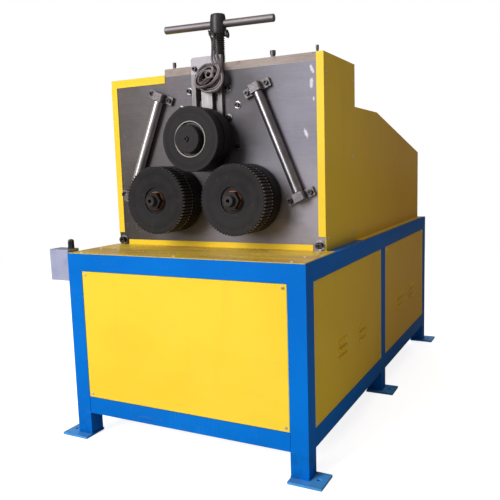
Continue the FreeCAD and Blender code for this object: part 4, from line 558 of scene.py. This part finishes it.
oxide = Finish("black_oxide", Metallic=0.55)
film = oxide.noise(160, 4)
shade = oxide.blend(oxide.between(film, 0.40, 0.66), (0.012, 0.011, 0.012), (0.050, 0.046, 0.047))
shade = oxide.blend(oxide.between(oxide.part_of(2), 1.290, 1.300), shade, (0.115, 0.108, 0.112))
shade = oxide.blend(0.7 * oxide.edges(0.0008) * oxide.between(film, 0.42, 0.55), shade, (0.26, 0.24, 0.24))
oxide.feed(Base_Color=shade, Roughness=0.36 + 0.25 * (film - 0.5), Normal=oxide.bump(film, 0.0001, 0.5))
dress(oxide, "socket_bolts")

zinc = Finish("zinc_plate", Metallic=0.85)
bloom = zinc.cells(420)
dull = zinc.patches(0.45, 0.70, 120, 3)
shade = zinc.blend(dull, (0.34, 0.325, 0.345), (0.19, 0.18, 0.19))
zinc.feed(Base_Color=shade, Roughness=0.32 + 0.18 * dull, Normal=zinc.bump(bloom, 0.00015, 0.4))
dress(zinc, "plate_washers")
print("small metal ready")

# %% [markdown]
# ## The feed screw's thread
#
# The solid screw is a plain bar. Its thread is one helical surface: for every point the phase is
# the height in turns minus the angle in turns, and a trapezium of that phase gives the radius.
# Below the thread, where the slide hides it, the screw keeps its collar and its journal.

# %% Cut the thread
def lathe(outline, steps, radius_at=None):
    """A surface turned about Z from (radius, height) points, closed at both ends."""
    mesh = bmesh.new()
    rows = []
    for radius, height in outline:
        row = []
        for step in range(steps):
            angle = math.tau * step / steps
            reach = radius_at(radius, height, angle) if radius_at else radius
            row.append(mesh.verts.new((reach * math.cos(angle), reach * math.sin(angle), height)))
        rows.append(row)
    for low, high in zip(rows, rows[1:]):
        for step in range(steps):
            after = (step + 1) % steps
            mesh.faces.new((low[step], low[after], high[after], high[step]))
    mesh.faces.new(list(reversed(rows[0])))
    mesh.faces.new(rows[-1])
    return mesh


def to_object(mesh, name, place=(0, 0, 0), smooth_angle=35):
    """Puts a mesh into the scene with its sharp edges kept sharp."""
    data = bpy.data.meshes.new(name)
    bmesh.ops.recalc_face_normals(mesh, faces=mesh.faces)
    mesh.to_mesh(data)
    mesh.free()
    data.shade_smooth()
    data.set_sharp_from_angle(angle=math.radians(smooth_angle))
    made = add_object(name, data)
    made.location = place
    return made


thread_pitch, thread_radius, thread_depth = 0.007, 0.022, 0.0028
collar_radius, journal_radius, tenon_radius = 0.030, 0.017, 0.017
collar_floor, slide_top, head_bottom, tenon_top = 1.168, 1.180, 1.415, 1.4355
thread_start, thread_end, run_out = 1.196, 1.413, 0.004
crest, flank = 0.30, 0.16
journal_length, step_back = 0.034, 0.0001


def thread_at(radius, height, angle):
    if not thread_start < height < thread_end:
        return radius
    phase = (height / thread_pitch - angle / math.tau) % 1.0
    if phase < crest:
        cut = 0.0
    elif phase < crest + flank:
        cut = (phase - crest) / flank
    elif phase < 1.0 - flank:
        cut = 1.0
    else:
        cut = (1.0 - phase) / flank
    fade = min(1.0, (height - thread_start) / run_out, (thread_end - height) / run_out)
    return radius - thread_depth * cut * fade


profile = [(journal_radius, collar_floor - journal_length), (journal_radius, collar_floor),
           (collar_radius, collar_floor), (collar_radius, slide_top - step_back),
           (thread_radius, slide_top - step_back)]
rows_per_turn = 8
threaded = head_bottom - slide_top
row_count = round((threaded - step_back) / thread_pitch * rows_per_turn)
profile += [(thread_radius, slide_top + threaded * step / row_count) for step in range(1, row_count)]
profile += [(thread_radius, head_bottom), (tenon_radius, head_bottom), (tenon_radius, tenon_top)]
thread = to_object(lathe(profile, 64, thread_at), "threaded_screw", (middle, screw_y, 0))
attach(thread, "feed_screw")
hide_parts("feed_screw")

oiled = Finish("oiled_thread", Metallic=0.3)
radius = oiled.radius_from((0, 0, None))
raised = oiled.between(radius, 0.0195, 0.0217)
stain = oiled.noise(60, 4)
# The grooves are painted darker than the crests: painted shade, with oil lying in them.
shade = oiled.blend(raised, (0.034, 0.031, 0.034), (0.066, 0.060, 0.066))
shade = oiled.blend(0.5 * raised * oiled.between(stain, 0.45, 0.66), shade, (0.095, 0.088, 0.095))
oiled.feed(Base_Color=shade, Roughness=0.30 + 0.2 * (stain - 0.5), Normal=oiled.bump(stain, 0.0002, 0.4))
thread.data.materials.append(oiled.material)
print("thread:", len(thread.data.polygons), "faces")

# %% The head: nearly straight, with a well rounded top, and a cross hole with a worn rim
# Radius and height above the head's foot; it starts inside, round the screw's tenon.
head_shape = [(0.0170, 0.0205), (0.0170, 0.0), (0.0275, 0.0), (0.0286, 0.0008), (0.0290, 0.0022),
              (0.0290, 0.020), (0.0288, 0.032), (0.0280, 0.048), (0.0268, 0.0600), (0.0260, 0.0655),
              (0.0248, 0.0680), (0.0230, 0.0689), (0.0210, 0.0690), (0.0120, 0.0690), (0.0015, 0.0690)]
head_mesh = lathe([(r, head_bottom + h) for r, h in head_shape], 96)
head = to_object(head_mesh, "turned_head", (middle, screw_y, 0))
drill = bmesh.new()
bar_middle = Vector((0, 0, (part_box("cross_bar")[0].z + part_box("cross_bar")[1].z) / 2))
bar_heading, bore, rim_wide, rim_narrow = math.radians(6), 0.01355, 0.0165, 0.0130
across_bar = (Matrix.Translation(bar_middle) @ Matrix.Rotation(bar_heading, 4, "Z")
              @ Matrix.Rotation(math.pi / 2, 4, "Y"))
cone = {"cap_ends": True, "segments": 64}
bmesh.ops.create_cone(drill, radius1=bore, radius2=bore, depth=0.08, matrix=across_bar, **cone)
for end in (-1, 1):
    flare = across_bar @ Matrix.Translation((0, 0, end * 0.0285))
    first, last = (rim_wide, rim_narrow) if end < 0 else (rim_narrow, rim_wide)
    bmesh.ops.create_cone(drill, radius1=first, radius2=last, depth=0.006, matrix=flare, **cone)
cutter = to_object(drill, "drill", (middle, screw_y, 0))
hole = head.modifiers.new("cross hole", "BOOLEAN")
hole.object = cutter
hole.solver = "EXACT"
hole.use_self = True
drilled = bpy.data.meshes.new_from_object(head.evaluated_get(bpy.context.evaluated_depsgraph_get()))
head.modifiers.clear()
head.data = drilled
bpy.data.objects.remove(cutter)
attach(head, "feed_screw")
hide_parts("screw_head")
head.data.materials.clear()
head_steel = Finish("head_steel", Metallic=0.15, Specular_IOR_Level=0.4)
radius = head_steel.radius_from((0, 0, None))
height = head_steel.part_of(2)
rings = head_steel.line_noise(height + radius, 1100, 3)
worn = head_steel.noise(40, 4)
mixed = head_steel.between(0.4 * rings + 0.6 * worn, 0.40, 0.60)
shade = head_steel.blend(mixed, (0.026, 0.024, 0.028), (0.054, 0.050, 0.056))
rubbed = head_steel.edges(0.0012) * head_steel.patches(0.38, 0.60, 150, 4)
shade = head_steel.blend(0.6 * rubbed, shade, (0.36, 0.34, 0.35))
head_steel.feed(Base_Color=shade, Roughness=0.40 + 0.2 * (worn - 0.5),
                Normal=head_steel.bump(rings, 0.00005, 0.5))
head.data.materials.append(head_steel.material)
print("head:", len(head.data.polygons), "faces")

# %% [markdown]
# ## Sheet screws
#
# Every sheet is held by small pan-head screws with a cross recess. Where they go is read from the
# plain octagons that arrive with the frame: each one is an island, its thinnest side is the
# screw's axis, and it looks away from the machine. One head is modelled and copied to them all,
# each turned to its own angle, as a hand screwdriver leaves them.

# %% Find the octagons and set a screw on each
def islands(source):
    """Lowest and highest corner of every separate lump of a node's mesh, in the mesh's own order."""
    mesh = bmesh.new()
    mesh.from_mesh(source.data)
    bmesh.ops.remove_doubles(mesh, verts=mesh.verts, dist=0.00001)
    left = set(mesh.verts)
    found = []
    for first in mesh.verts:
        if first not in left:
            continue
        left.discard(first)
        lump, edge = set(), [first]
        while edge:
            vertex = edge.pop()
            lump.add(vertex)
            for link in vertex.link_edges:
                other = link.other_vert(vertex)
                if other in left:
                    left.discard(other)
                    edge.append(other)
        places = [vertex.co for vertex in lump]
        low = Vector([min(p[k] for p in places) for k in range(3)])
        high = Vector([max(p[k] for p in places) for k in range(3)])
        found.append((low, high))
    mesh.free()
    return found


def add_screw(mesh, base, outward, spin):
    """A domed head with a cross pressed into it, standing on the base."""
    radius, height, steps = 0.0050, 0.0029, 32
    cross_half_width, cross_reach, cross_depth = 0.00062, 0.0029, 0.0014
    turn = outward.to_track_quat("Z", "Y")
    twist = Matrix.Rotation(spin, 3, "Z")
    angles = [math.tau * step / steps for step in range(steps)]
    rows = []
    for r in (0.0007, 0.0013, 0.0019, 0.0025, 0.0031, 0.0038, 0.0045, radius):
        row = []
        for angle in angles:
            x, y = r * math.cos(angle), r * math.sin(angle)
            z = height * (1 - 0.42 * (r / radius) ** 2)
            if min(abs(x), abs(y)) < cross_half_width and r < cross_reach:
                z -= cross_depth
            row.append(mesh.verts.new(base + turn @ (twist @ Vector((x, y, z)))))
        rows.append(row)
    foot = [mesh.verts.new(base + turn @ (twist @ Vector((radius * math.cos(a), radius * math.sin(a), 0))))
            for a in angles]
    rows.append(foot)
    top = mesh.verts.new(base + turn @ Vector((0, 0, height - cross_depth)))
    for step in range(steps):
        after = (step + 1) % steps
        mesh.faces.new((top, rows[0][step], rows[0][after]))
        for inner, outer in zip(rows, rows[1:]):
            mesh.faces.new((inner[step], outer[step], outer[after], inner[after]))
    mesh.faces.new(list(reversed(foot)))


chance = random.Random(4)
heads = bmesh.new()
lumps = islands(nodes["sheet_screws"])
for low, high in lumps:
    size = high - low
    axis = min(range(3), key=lambda k: size[k])
    centre = (low + high) / 2
    outward = Vector((0, 0, 0))
    outward[axis] = 1.0 if axis == 2 or centre[axis] > 0 else -1.0
    base = centre.copy()
    base[axis] = low[axis] if outward[axis] > 0 else high[axis]
    add_screw(heads, base, outward, chance.uniform(0, math.pi))
screws = to_object(heads, "cross_head_screws", smooth_angle=40)
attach(screws, "machine")
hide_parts("sheet_screws")

plated = Finish("screw_plating", Metallic=0.1)
front_row = plated.between(plated.part_of(1), -0.848, -0.840)
age = plated.patches(0.40, 0.60, 11, 2) * (1.0 - front_row)
stain = plated.patches(0.42, 0.62, 320, 4)
# The pale plating is painted near white, so the screws on the shaded walls show as bright spots: partly a
# painted highlight. The front row gets brown patches of age.
shade = plated.blend(age, (0.90, 0.85, 0.72), (0.50, 0.33, 0.20))
shade = plated.blend(0.3 * stain, shade, (0.22, 0.13, 0.07))
plated.feed(Base_Color=shade, Roughness=0.34 + 0.2 * stain, Normal=plated.bump(stain, 0.0001, 0.4))
screws.data.materials.append(plated.material)
print(len(lumps), "screws")

# %% Ribbed knob of the switch
rib_count, rib_depth, ribbed_from, ribs_start = 18, 0.0011, 0.008, 0.004


def rib(radius, height, angle):
    if radius < ribbed_from or height < ribs_start:
        return radius
    return radius - rib_depth * (0.5 + 0.5 * math.cos(rib_count * angle)) ** 2


knob_low, knob_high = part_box("selector_knob")
knob_base = knob_low[2] + 0.008
knob_shape = [(0.004, -0.008), (0.004, 0.0005), (0.0118, 0.0005), (0.0120, 0.0035), (0.0112, 0.0042)]
knob_shape += [(0.0112 - 0.0004 * step / 8, 0.0045 + 0.023 * step / 8) for step in range(9)]
knob_shape += [(0.0100, 0.0295), (0.0085, 0.0318), (0.0060, 0.0334), (0.0030, 0.0339), (0.0006, 0.0340)]
knob_mesh = lathe(knob_shape, 144, rib)
knob_middle = ((knob_low[0] + knob_high[0]) / 2, (knob_low[1] + knob_high[1]) / 2, knob_base)
knob = to_object(knob_mesh, "ribbed_knob", knob_middle)
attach(knob, "selector")
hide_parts("selector_knob")

plastic = Finish("black_plastic", Specular_IOR_Level=0.45)
fine = plastic.noise(900, 3)
dusty = plastic.patches(0.50, 0.72, 60, 3)
shade = plastic.blend(0.3 * dusty, (0.012, 0.012, 0.013), (0.09, 0.085, 0.08))
# The pointer is a thin white line on the knob's top, from its middle forwards.
thin = 1.0 - plastic.between(abs(plastic.part_of(0)), 0.0005, 0.0009)
on_top = plastic.between(plastic.part_of(2), 0.026, 0.027)
pointer = thin * on_top * (1.0 - plastic.between(plastic.part_of(1), -0.001, 0.001))
shade = plastic.blend(pointer, shade, (0.80, 0.80, 0.78))
plastic.feed(Base_Color=shade, Roughness=0.42 + 0.2 * dusty, Normal=plastic.bump(fine, 0.00008, 0.5))
knob.data.materials.append(plastic.material)
print("knob:", len(knob.data.polygons), "faces")

# %% [markdown]
# ## Weld beads
#
# The posts are welded to their foot plates, and the rails to the posts. A bead is a row of small
# overlapping drops, so each is a tube whose radius swells and shrinks every few millimetres.

# %% Lay the beads round the foot of each post
drop_length, bead_sides = 0.0022, 8


def bead(mesh, start, end, radius, seed):
    """A weld along a straight joint, as a knobbly tube half sunk in it."""
    chance = random.Random(seed)
    along = end - start
    side = along.normalized().cross(Vector((0, 0, 1)))
    if side.length < 0.1:
        side = Vector((1, 0, 0))
    side.normalize()
    up = side.cross(along.normalized())
    count = max(4, round(along.length / drop_length))
    rows = []
    for step in range(count + 1):
        swell = 1 + 0.16 * math.sin(step * 2.1) + chance.uniform(-0.06, 0.06)
        reach = radius * swell * (0.5 if step in (0, count) else 1)
        centre = start + along * step / count
        rows.append([mesh.verts.new(centre + reach * (math.cos(a) * side + math.sin(a) * up))
                     for a in (math.tau * k / bead_sides for k in range(bead_sides))])
    for low, high in zip(rows, rows[1:]):
        for k in range(bead_sides):
            after = (k + 1) % bead_sides
            mesh.faces.new((low[k], low[after], high[after], high[k]))
    mesh.faces.new(rows[0])
    mesh.faces.new(rows[-1])


welds = bmesh.new()
seed = 0
post_side, sole, rail_low, rail_high = 0.060, 0.008, 0.090, 0.146
foot_bead, rail_bead = 0.0030, 0.0018
front_y, rear_y = -0.850, 0.790
for x0 in (-0.450, 0.390):
    for y0 in (front_y, -0.030, rear_y):
        corners = [Vector((x0, y0, sole)), Vector((x0 + post_side, y0, sole)),
                   Vector((x0 + post_side, y0 + post_side, sole)), Vector((x0, y0 + post_side, sole))]
        for here, there in zip(corners, corners[1:] + corners[:1]):
            bead(welds, here, there, foot_bead, seed)
            seed += 1
for x in (-0.390, 0.390):
    for y0 in (front_y, rear_y):
        for y in (y0, y0 + post_side):
            bead(welds, Vector((x, y, rail_low)), Vector((x, y, rail_high)), rail_bead, seed)
            seed += 1
weld = to_object(welds, "weld_beads", smooth_angle=60)
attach(weld, "machine")
weld.data.materials.append(blue_paint.material)
print("welds:", seed, "beads")

# %% [markdown]
# ## The spare cable
#
# A length of thin cable is looped round the neck of the feed screw. From there it runs down the
# front into a hank that somebody wound round a hand: the turns differ in size, lie over each other
# and cross, and both ends are tucked in between them. It is one spline from end to end. The turns
# come from a short loop of code, the way round the neck from listed points, and a spline
# of order 3 smooths them all.

# %% Route of the cable
hank_centre = Vector((0.019, -0.622, 1.245))
cable_thickness = 0.0075
# Millimetres: across and behind the screw's axis, and height above the floor. The cable rises from
# the hank and goes round the neck, is wound up in a small lump at its right, and goes round again.
rising = [
    (38, -122, 1300), (40, -116, 1340), (32, -101, 1366), (15, -74, 1386), (-4, -50, 1403), (-21, -30, 1417),
    (-32, -8, 1423), (-32, 14, 1424), (-18, 34, 1423), (4, 37, 1419), (20, 29, 1412), (31, 14, 1406),
    (34.5, 8, 1404), (37, 3, 1403),
]
falling = [
    (33, 5, 1426), (30.5, 13, 1427), (22, 26, 1430), (6, 37, 1432), (-15, 38, 1433), (-32, 20, 1432),
    (-35, 1, 1431), (-30, -18, 1428), (-17, -33, 1422), (0, -44, 1413), (13, -57, 1402), (24, -75, 1387),
    (36, -100, 1364), (44, -114, 1334), (52, -122, 1300),
]
lump = []
for step in range(19):
    turn = math.tau * step / 12
    lump.append((36 + 2 * math.cos(turn) - 0.05 * step, -1 - 10 * math.sin(turn),
                 1414 - 11 * math.cos(turn)))


points_a_turn = 14


def hank_turn(way, start, turns, wide, tall, tilt, shift, layer, wobble, seed):
    """Points of a few loose oval turns in front of the plate.

    way is 1 or -1, start an angle in turns, tilt in degrees. In millimetres: wide and tall are the
    half axes at the first and last point, layer the depth there, shift the move in x and z.
    """
    chance = random.Random(seed)
    lean = math.radians(tilt)
    points = []
    count = round(points_a_turn * turns)
    for step in range(count):
        angle = math.tau * (start + way * step / points_a_turn)
        share = step / count
        long = wide[0] + (wide[1] - wide[0]) * share + chance.uniform(-wobble, wobble)
        short = tall[0] + (tall[1] - tall[0]) * share + chance.uniform(-wobble, wobble)
        x = long * math.cos(angle) * math.cos(lean) - short * math.sin(angle) * math.sin(lean)
        z = long * math.cos(angle) * math.sin(lean) + short * math.sin(angle) * math.cos(lean)
        depth = layer[0] + (layer[1] - layer[0]) * share + 1.5 * math.sin(2 * angle + seed)
        points.append(hank_centre + Vector((shift[0] + x, depth, shift[1] + z)) / 1000)
    return points


neck = [Vector((middle + x / 1000, screw_y + y / 1000, z / 1000)) for x, y, z in rising + lump + falling]
under = hank_turn(1, 0.46, 1.5, (28, 44), (25, 38), 12, (0, 4), (9, 8), 1.0, 2)
before = hank_turn(1, 0.03, 2.15, (47, 53), (40, 44), 0, (0, 3), (10, 5), 1.5, 3)
after = hank_turn(-1, 0.09, 1.9, (54, 51), (47, 44), -12, (0, 3), (3, -2), 1.5, 8)
crossed = hank_turn(-1, 0.06, 2.0, (56, 47), (32, 26), 30, (-4, 10), (-5, -9), 1.0, 5)
inner = hank_turn(-1, 0.02, 1.86, (38, 32), (20, 17), 42, (-5, 12), (-11, -13), 0.5, 6)
middle_ring = hank_turn(-1, 0.27, 1.6, (14, 10), (13, 10), 0, (10, 13), (-15, -16), 0.2, 9)
tail = [hank_centre + Vector(p) / 1000 for p in ((2, -16, 1), (-8, -15, -5), (-20, -14, -12))]
route = under + before + neck + after + crossed + inner + middle_ring + tail
print(len(route), "points of the cable's route")

# %% Draw the cable as one smooth spline
def cable_curve(name, points, thickness):
    """One open spline of order 3 through the points' neighbourhood, as a tube or as a bare line."""
    curve = bpy.data.curves.new(name, "CURVE")
    curve.dimensions = "3D"
    curve.bevel_depth = 1.0 if thickness else 0.0  # times the radius of each point
    curve.bevel_resolution = 3
    curve.resolution_u = 6
    curve.use_fill_caps = thickness > 0
    spline = curve.splines.new("NURBS")
    spline.points.add(len(points) - 1)
    for spot, place in zip(spline.points, points):
        spot.co = (*place, 1)
        spot.radius = thickness / 2
    spline.order_u = 3
    spline.use_endpoint_u = True
    return add_object(name, curve)


def spline_length(points):
    """Length of the smooth line, measured on a copy of the spline with no thickness."""
    line = cable_curve("measure", points, 0)
    mesh = bpy.data.meshes.new_from_object(line)
    spots = [v.co for v in mesh.vertices]
    bpy.data.objects.remove(line)
    return sum((b - a).length for a, b in zip(spots, spots[1:]))


cable_length = spline_length(route)
cable = cable_curve("spare_cable", route, cable_thickness)
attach(cable, "carriage")
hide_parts("cable_coil", "cable_loop")

sheath = Finish("cable_rubber", Specular_IOR_Level=0.5)
# Up at the neck, under the head, the cable is painted darker: a painted shadow of the head.
handling_and_shade = 1.0 - 0.85 * sheath.between(sheath.part_of(2), 1.290, 1.390)
talc = sheath.patches(0.36, 0.62, 14, 3) * handling_and_shade
shade = sheath.blend(handling_and_shade, (0.022, 0.018, 0.020), (0.080, 0.062, 0.068))
shade = sheath.blend(talc, shade, (0.270, 0.228, 0.238))
sheath.feed(Base_Color=shade, Roughness=0.26 + 0.14 * talc,
            Normal=sheath.bump(sheath.noise(500, 3), 0.0001, 0.5))
cable.data.materials.append(sheath.material)
print("cable", round(cable_length, 2), "m long")

# %% [markdown]
# ## Floor, world and light
#
# The machine stands on a white floor under soft light that comes from the front and a little from
# the left, so the front is bright, the right side is in shade and the deck is in between. The
# background is white because the world says so to the camera. The light that the world casts on
# the machine is a separate and much lower value. Mirror-like rays see little of either white: they
# would lay a pale veil on the shaded walls.

# %% White floor
# The camera sees the lit paper with a glow added, so it is white and keeps its shadow. Far from
# the machine it is plain white, and mirror-like rays see concrete in its place.
floor = add_object("floor", bpy.data.meshes.new("floor"))
sheet = bmesh.new()
bmesh.ops.create_grid(sheet, x_segments=1, y_segments=1, size=60)
sheet.to_mesh(floor.data)
sheet.free()
floor.location.z = -0.0005

paper = Finish("floor_paper", Roughness=0.9, Specular_IOR_Level=0.1)
paper.feed(Base_Color=paper.blend(paper.noise(3, 2), (0.78, 0.78, 0.78), (0.82, 0.82, 0.82)))
camera_ray = paper.node("ShaderNodeLightPath", output="Is Camera Ray")
plain = Wire(paper, paper.shader.outputs[0])
glow = paper.node("ShaderNodeEmission", inputs={"Color": (1, 1, 1), "Strength": 0.84})
lit = paper.node("ShaderNodeAddShader", inputs={0: plain, 1: glow})
bare = paper.node("ShaderNodeEmission", inputs={"Color": (1, 1, 1), "Strength": 1.0})
shadow_ends, plain_white = 2.2, 5.0
away = paper.between(paper.radius_from((0, 0, None)), shadow_ends, plain_white)
looked_at = paper.node("ShaderNodeMixShader", inputs={0: away, 1: lit, 2: bare})
mirror_ray = paper.node("ShaderNodeLightPath", output="Is Glossy Ray")
concrete = paper.node("ShaderNodeBsdfDiffuse", inputs={"Color": (0.26, 0.25, 0.24, 1)})
unseen = paper.node("ShaderNodeMixShader", inputs={0: mirror_ray, 1: plain, 2: concrete})
shown = paper.node("ShaderNodeMixShader", inputs={0: camera_ray, 1: unseen, 2: looked_at})
paper.connect(shown, paper.output.inputs[0])
floor.data.materials.append(paper.material)
print("floor", tuple(round(d, 1) for d in floor.dimensions))

# %% World: white to look at, dim as a lamp, a tenth of white in reflections
world = bpy.data.worlds.new("studio")
bpy.context.scene.world = world
sky = Workshop(world)
ray = {kind: sky.node("ShaderNodeLightPath", output=f"Is {kind} Ray")
       for kind in ("Camera", "Transmission", "Glossy")}
seen = sky.node("ShaderNodeMath", {"operation": "MAXIMUM"}, {0: ray["Camera"], 1: ray["Transmission"]})
share = seen + 0.10 * ray["Glossy"]
dim = sky.node("ShaderNodeBackground", inputs={"Color": (1.0, 0.77, 0.66), "Strength": 0.140})
white = sky.node("ShaderNodeBackground", inputs={"Color": (1, 1, 1), "Strength": 1.0})
mixed = sky.node("ShaderNodeMixShader", inputs={0: share, 1: dim, 2: white})
sky.node("ShaderNodeOutputWorld", inputs={0: mixed})
print("world", len(sky.tree.nodes), "nodes")

# %% Lamps: a broad key from the front left, a soft one overhead and a weak one behind
def soft_lamp(name, place, target, size, power, tint):
    """A rectangle of light at a place, turned to a target; metres and watts."""
    lamp = add_object(name, bpy.data.lights.new(name, "AREA"))
    lamp.data.shape = "RECTANGLE"
    lamp.data.size, lamp.data.size_y = size
    lamp.data.energy = power
    lamp.data.color = tint
    lamp.location = place
    lamp.rotation_euler = (Vector(target) - Vector(place)).to_track_quat("-Z", "Y").to_euler()
    return lamp


key = soft_lamp("key", (-3.7, -10.5, 5.0), (0, -0.6, 0.8), (4.2, 7.6), 1180, (1.0, 0.99, 0.985))
above = soft_lamp("above", (0.6, 0.4, 6.5), (0.1, 0, 0.7), (5.0, 5.0), 60, (1.0, 0.99, 0.98))
back = soft_lamp("back", (-3.6, 7.0, 3.6), (0, 0, 0.8), (4.5, 3.0), 250, (1.0, 0.98, 0.96))
bpy.context.scene.view_settings.view_transform = "Standard"
print("lamps", key.data.energy, above.data.energy, back.data.energy)
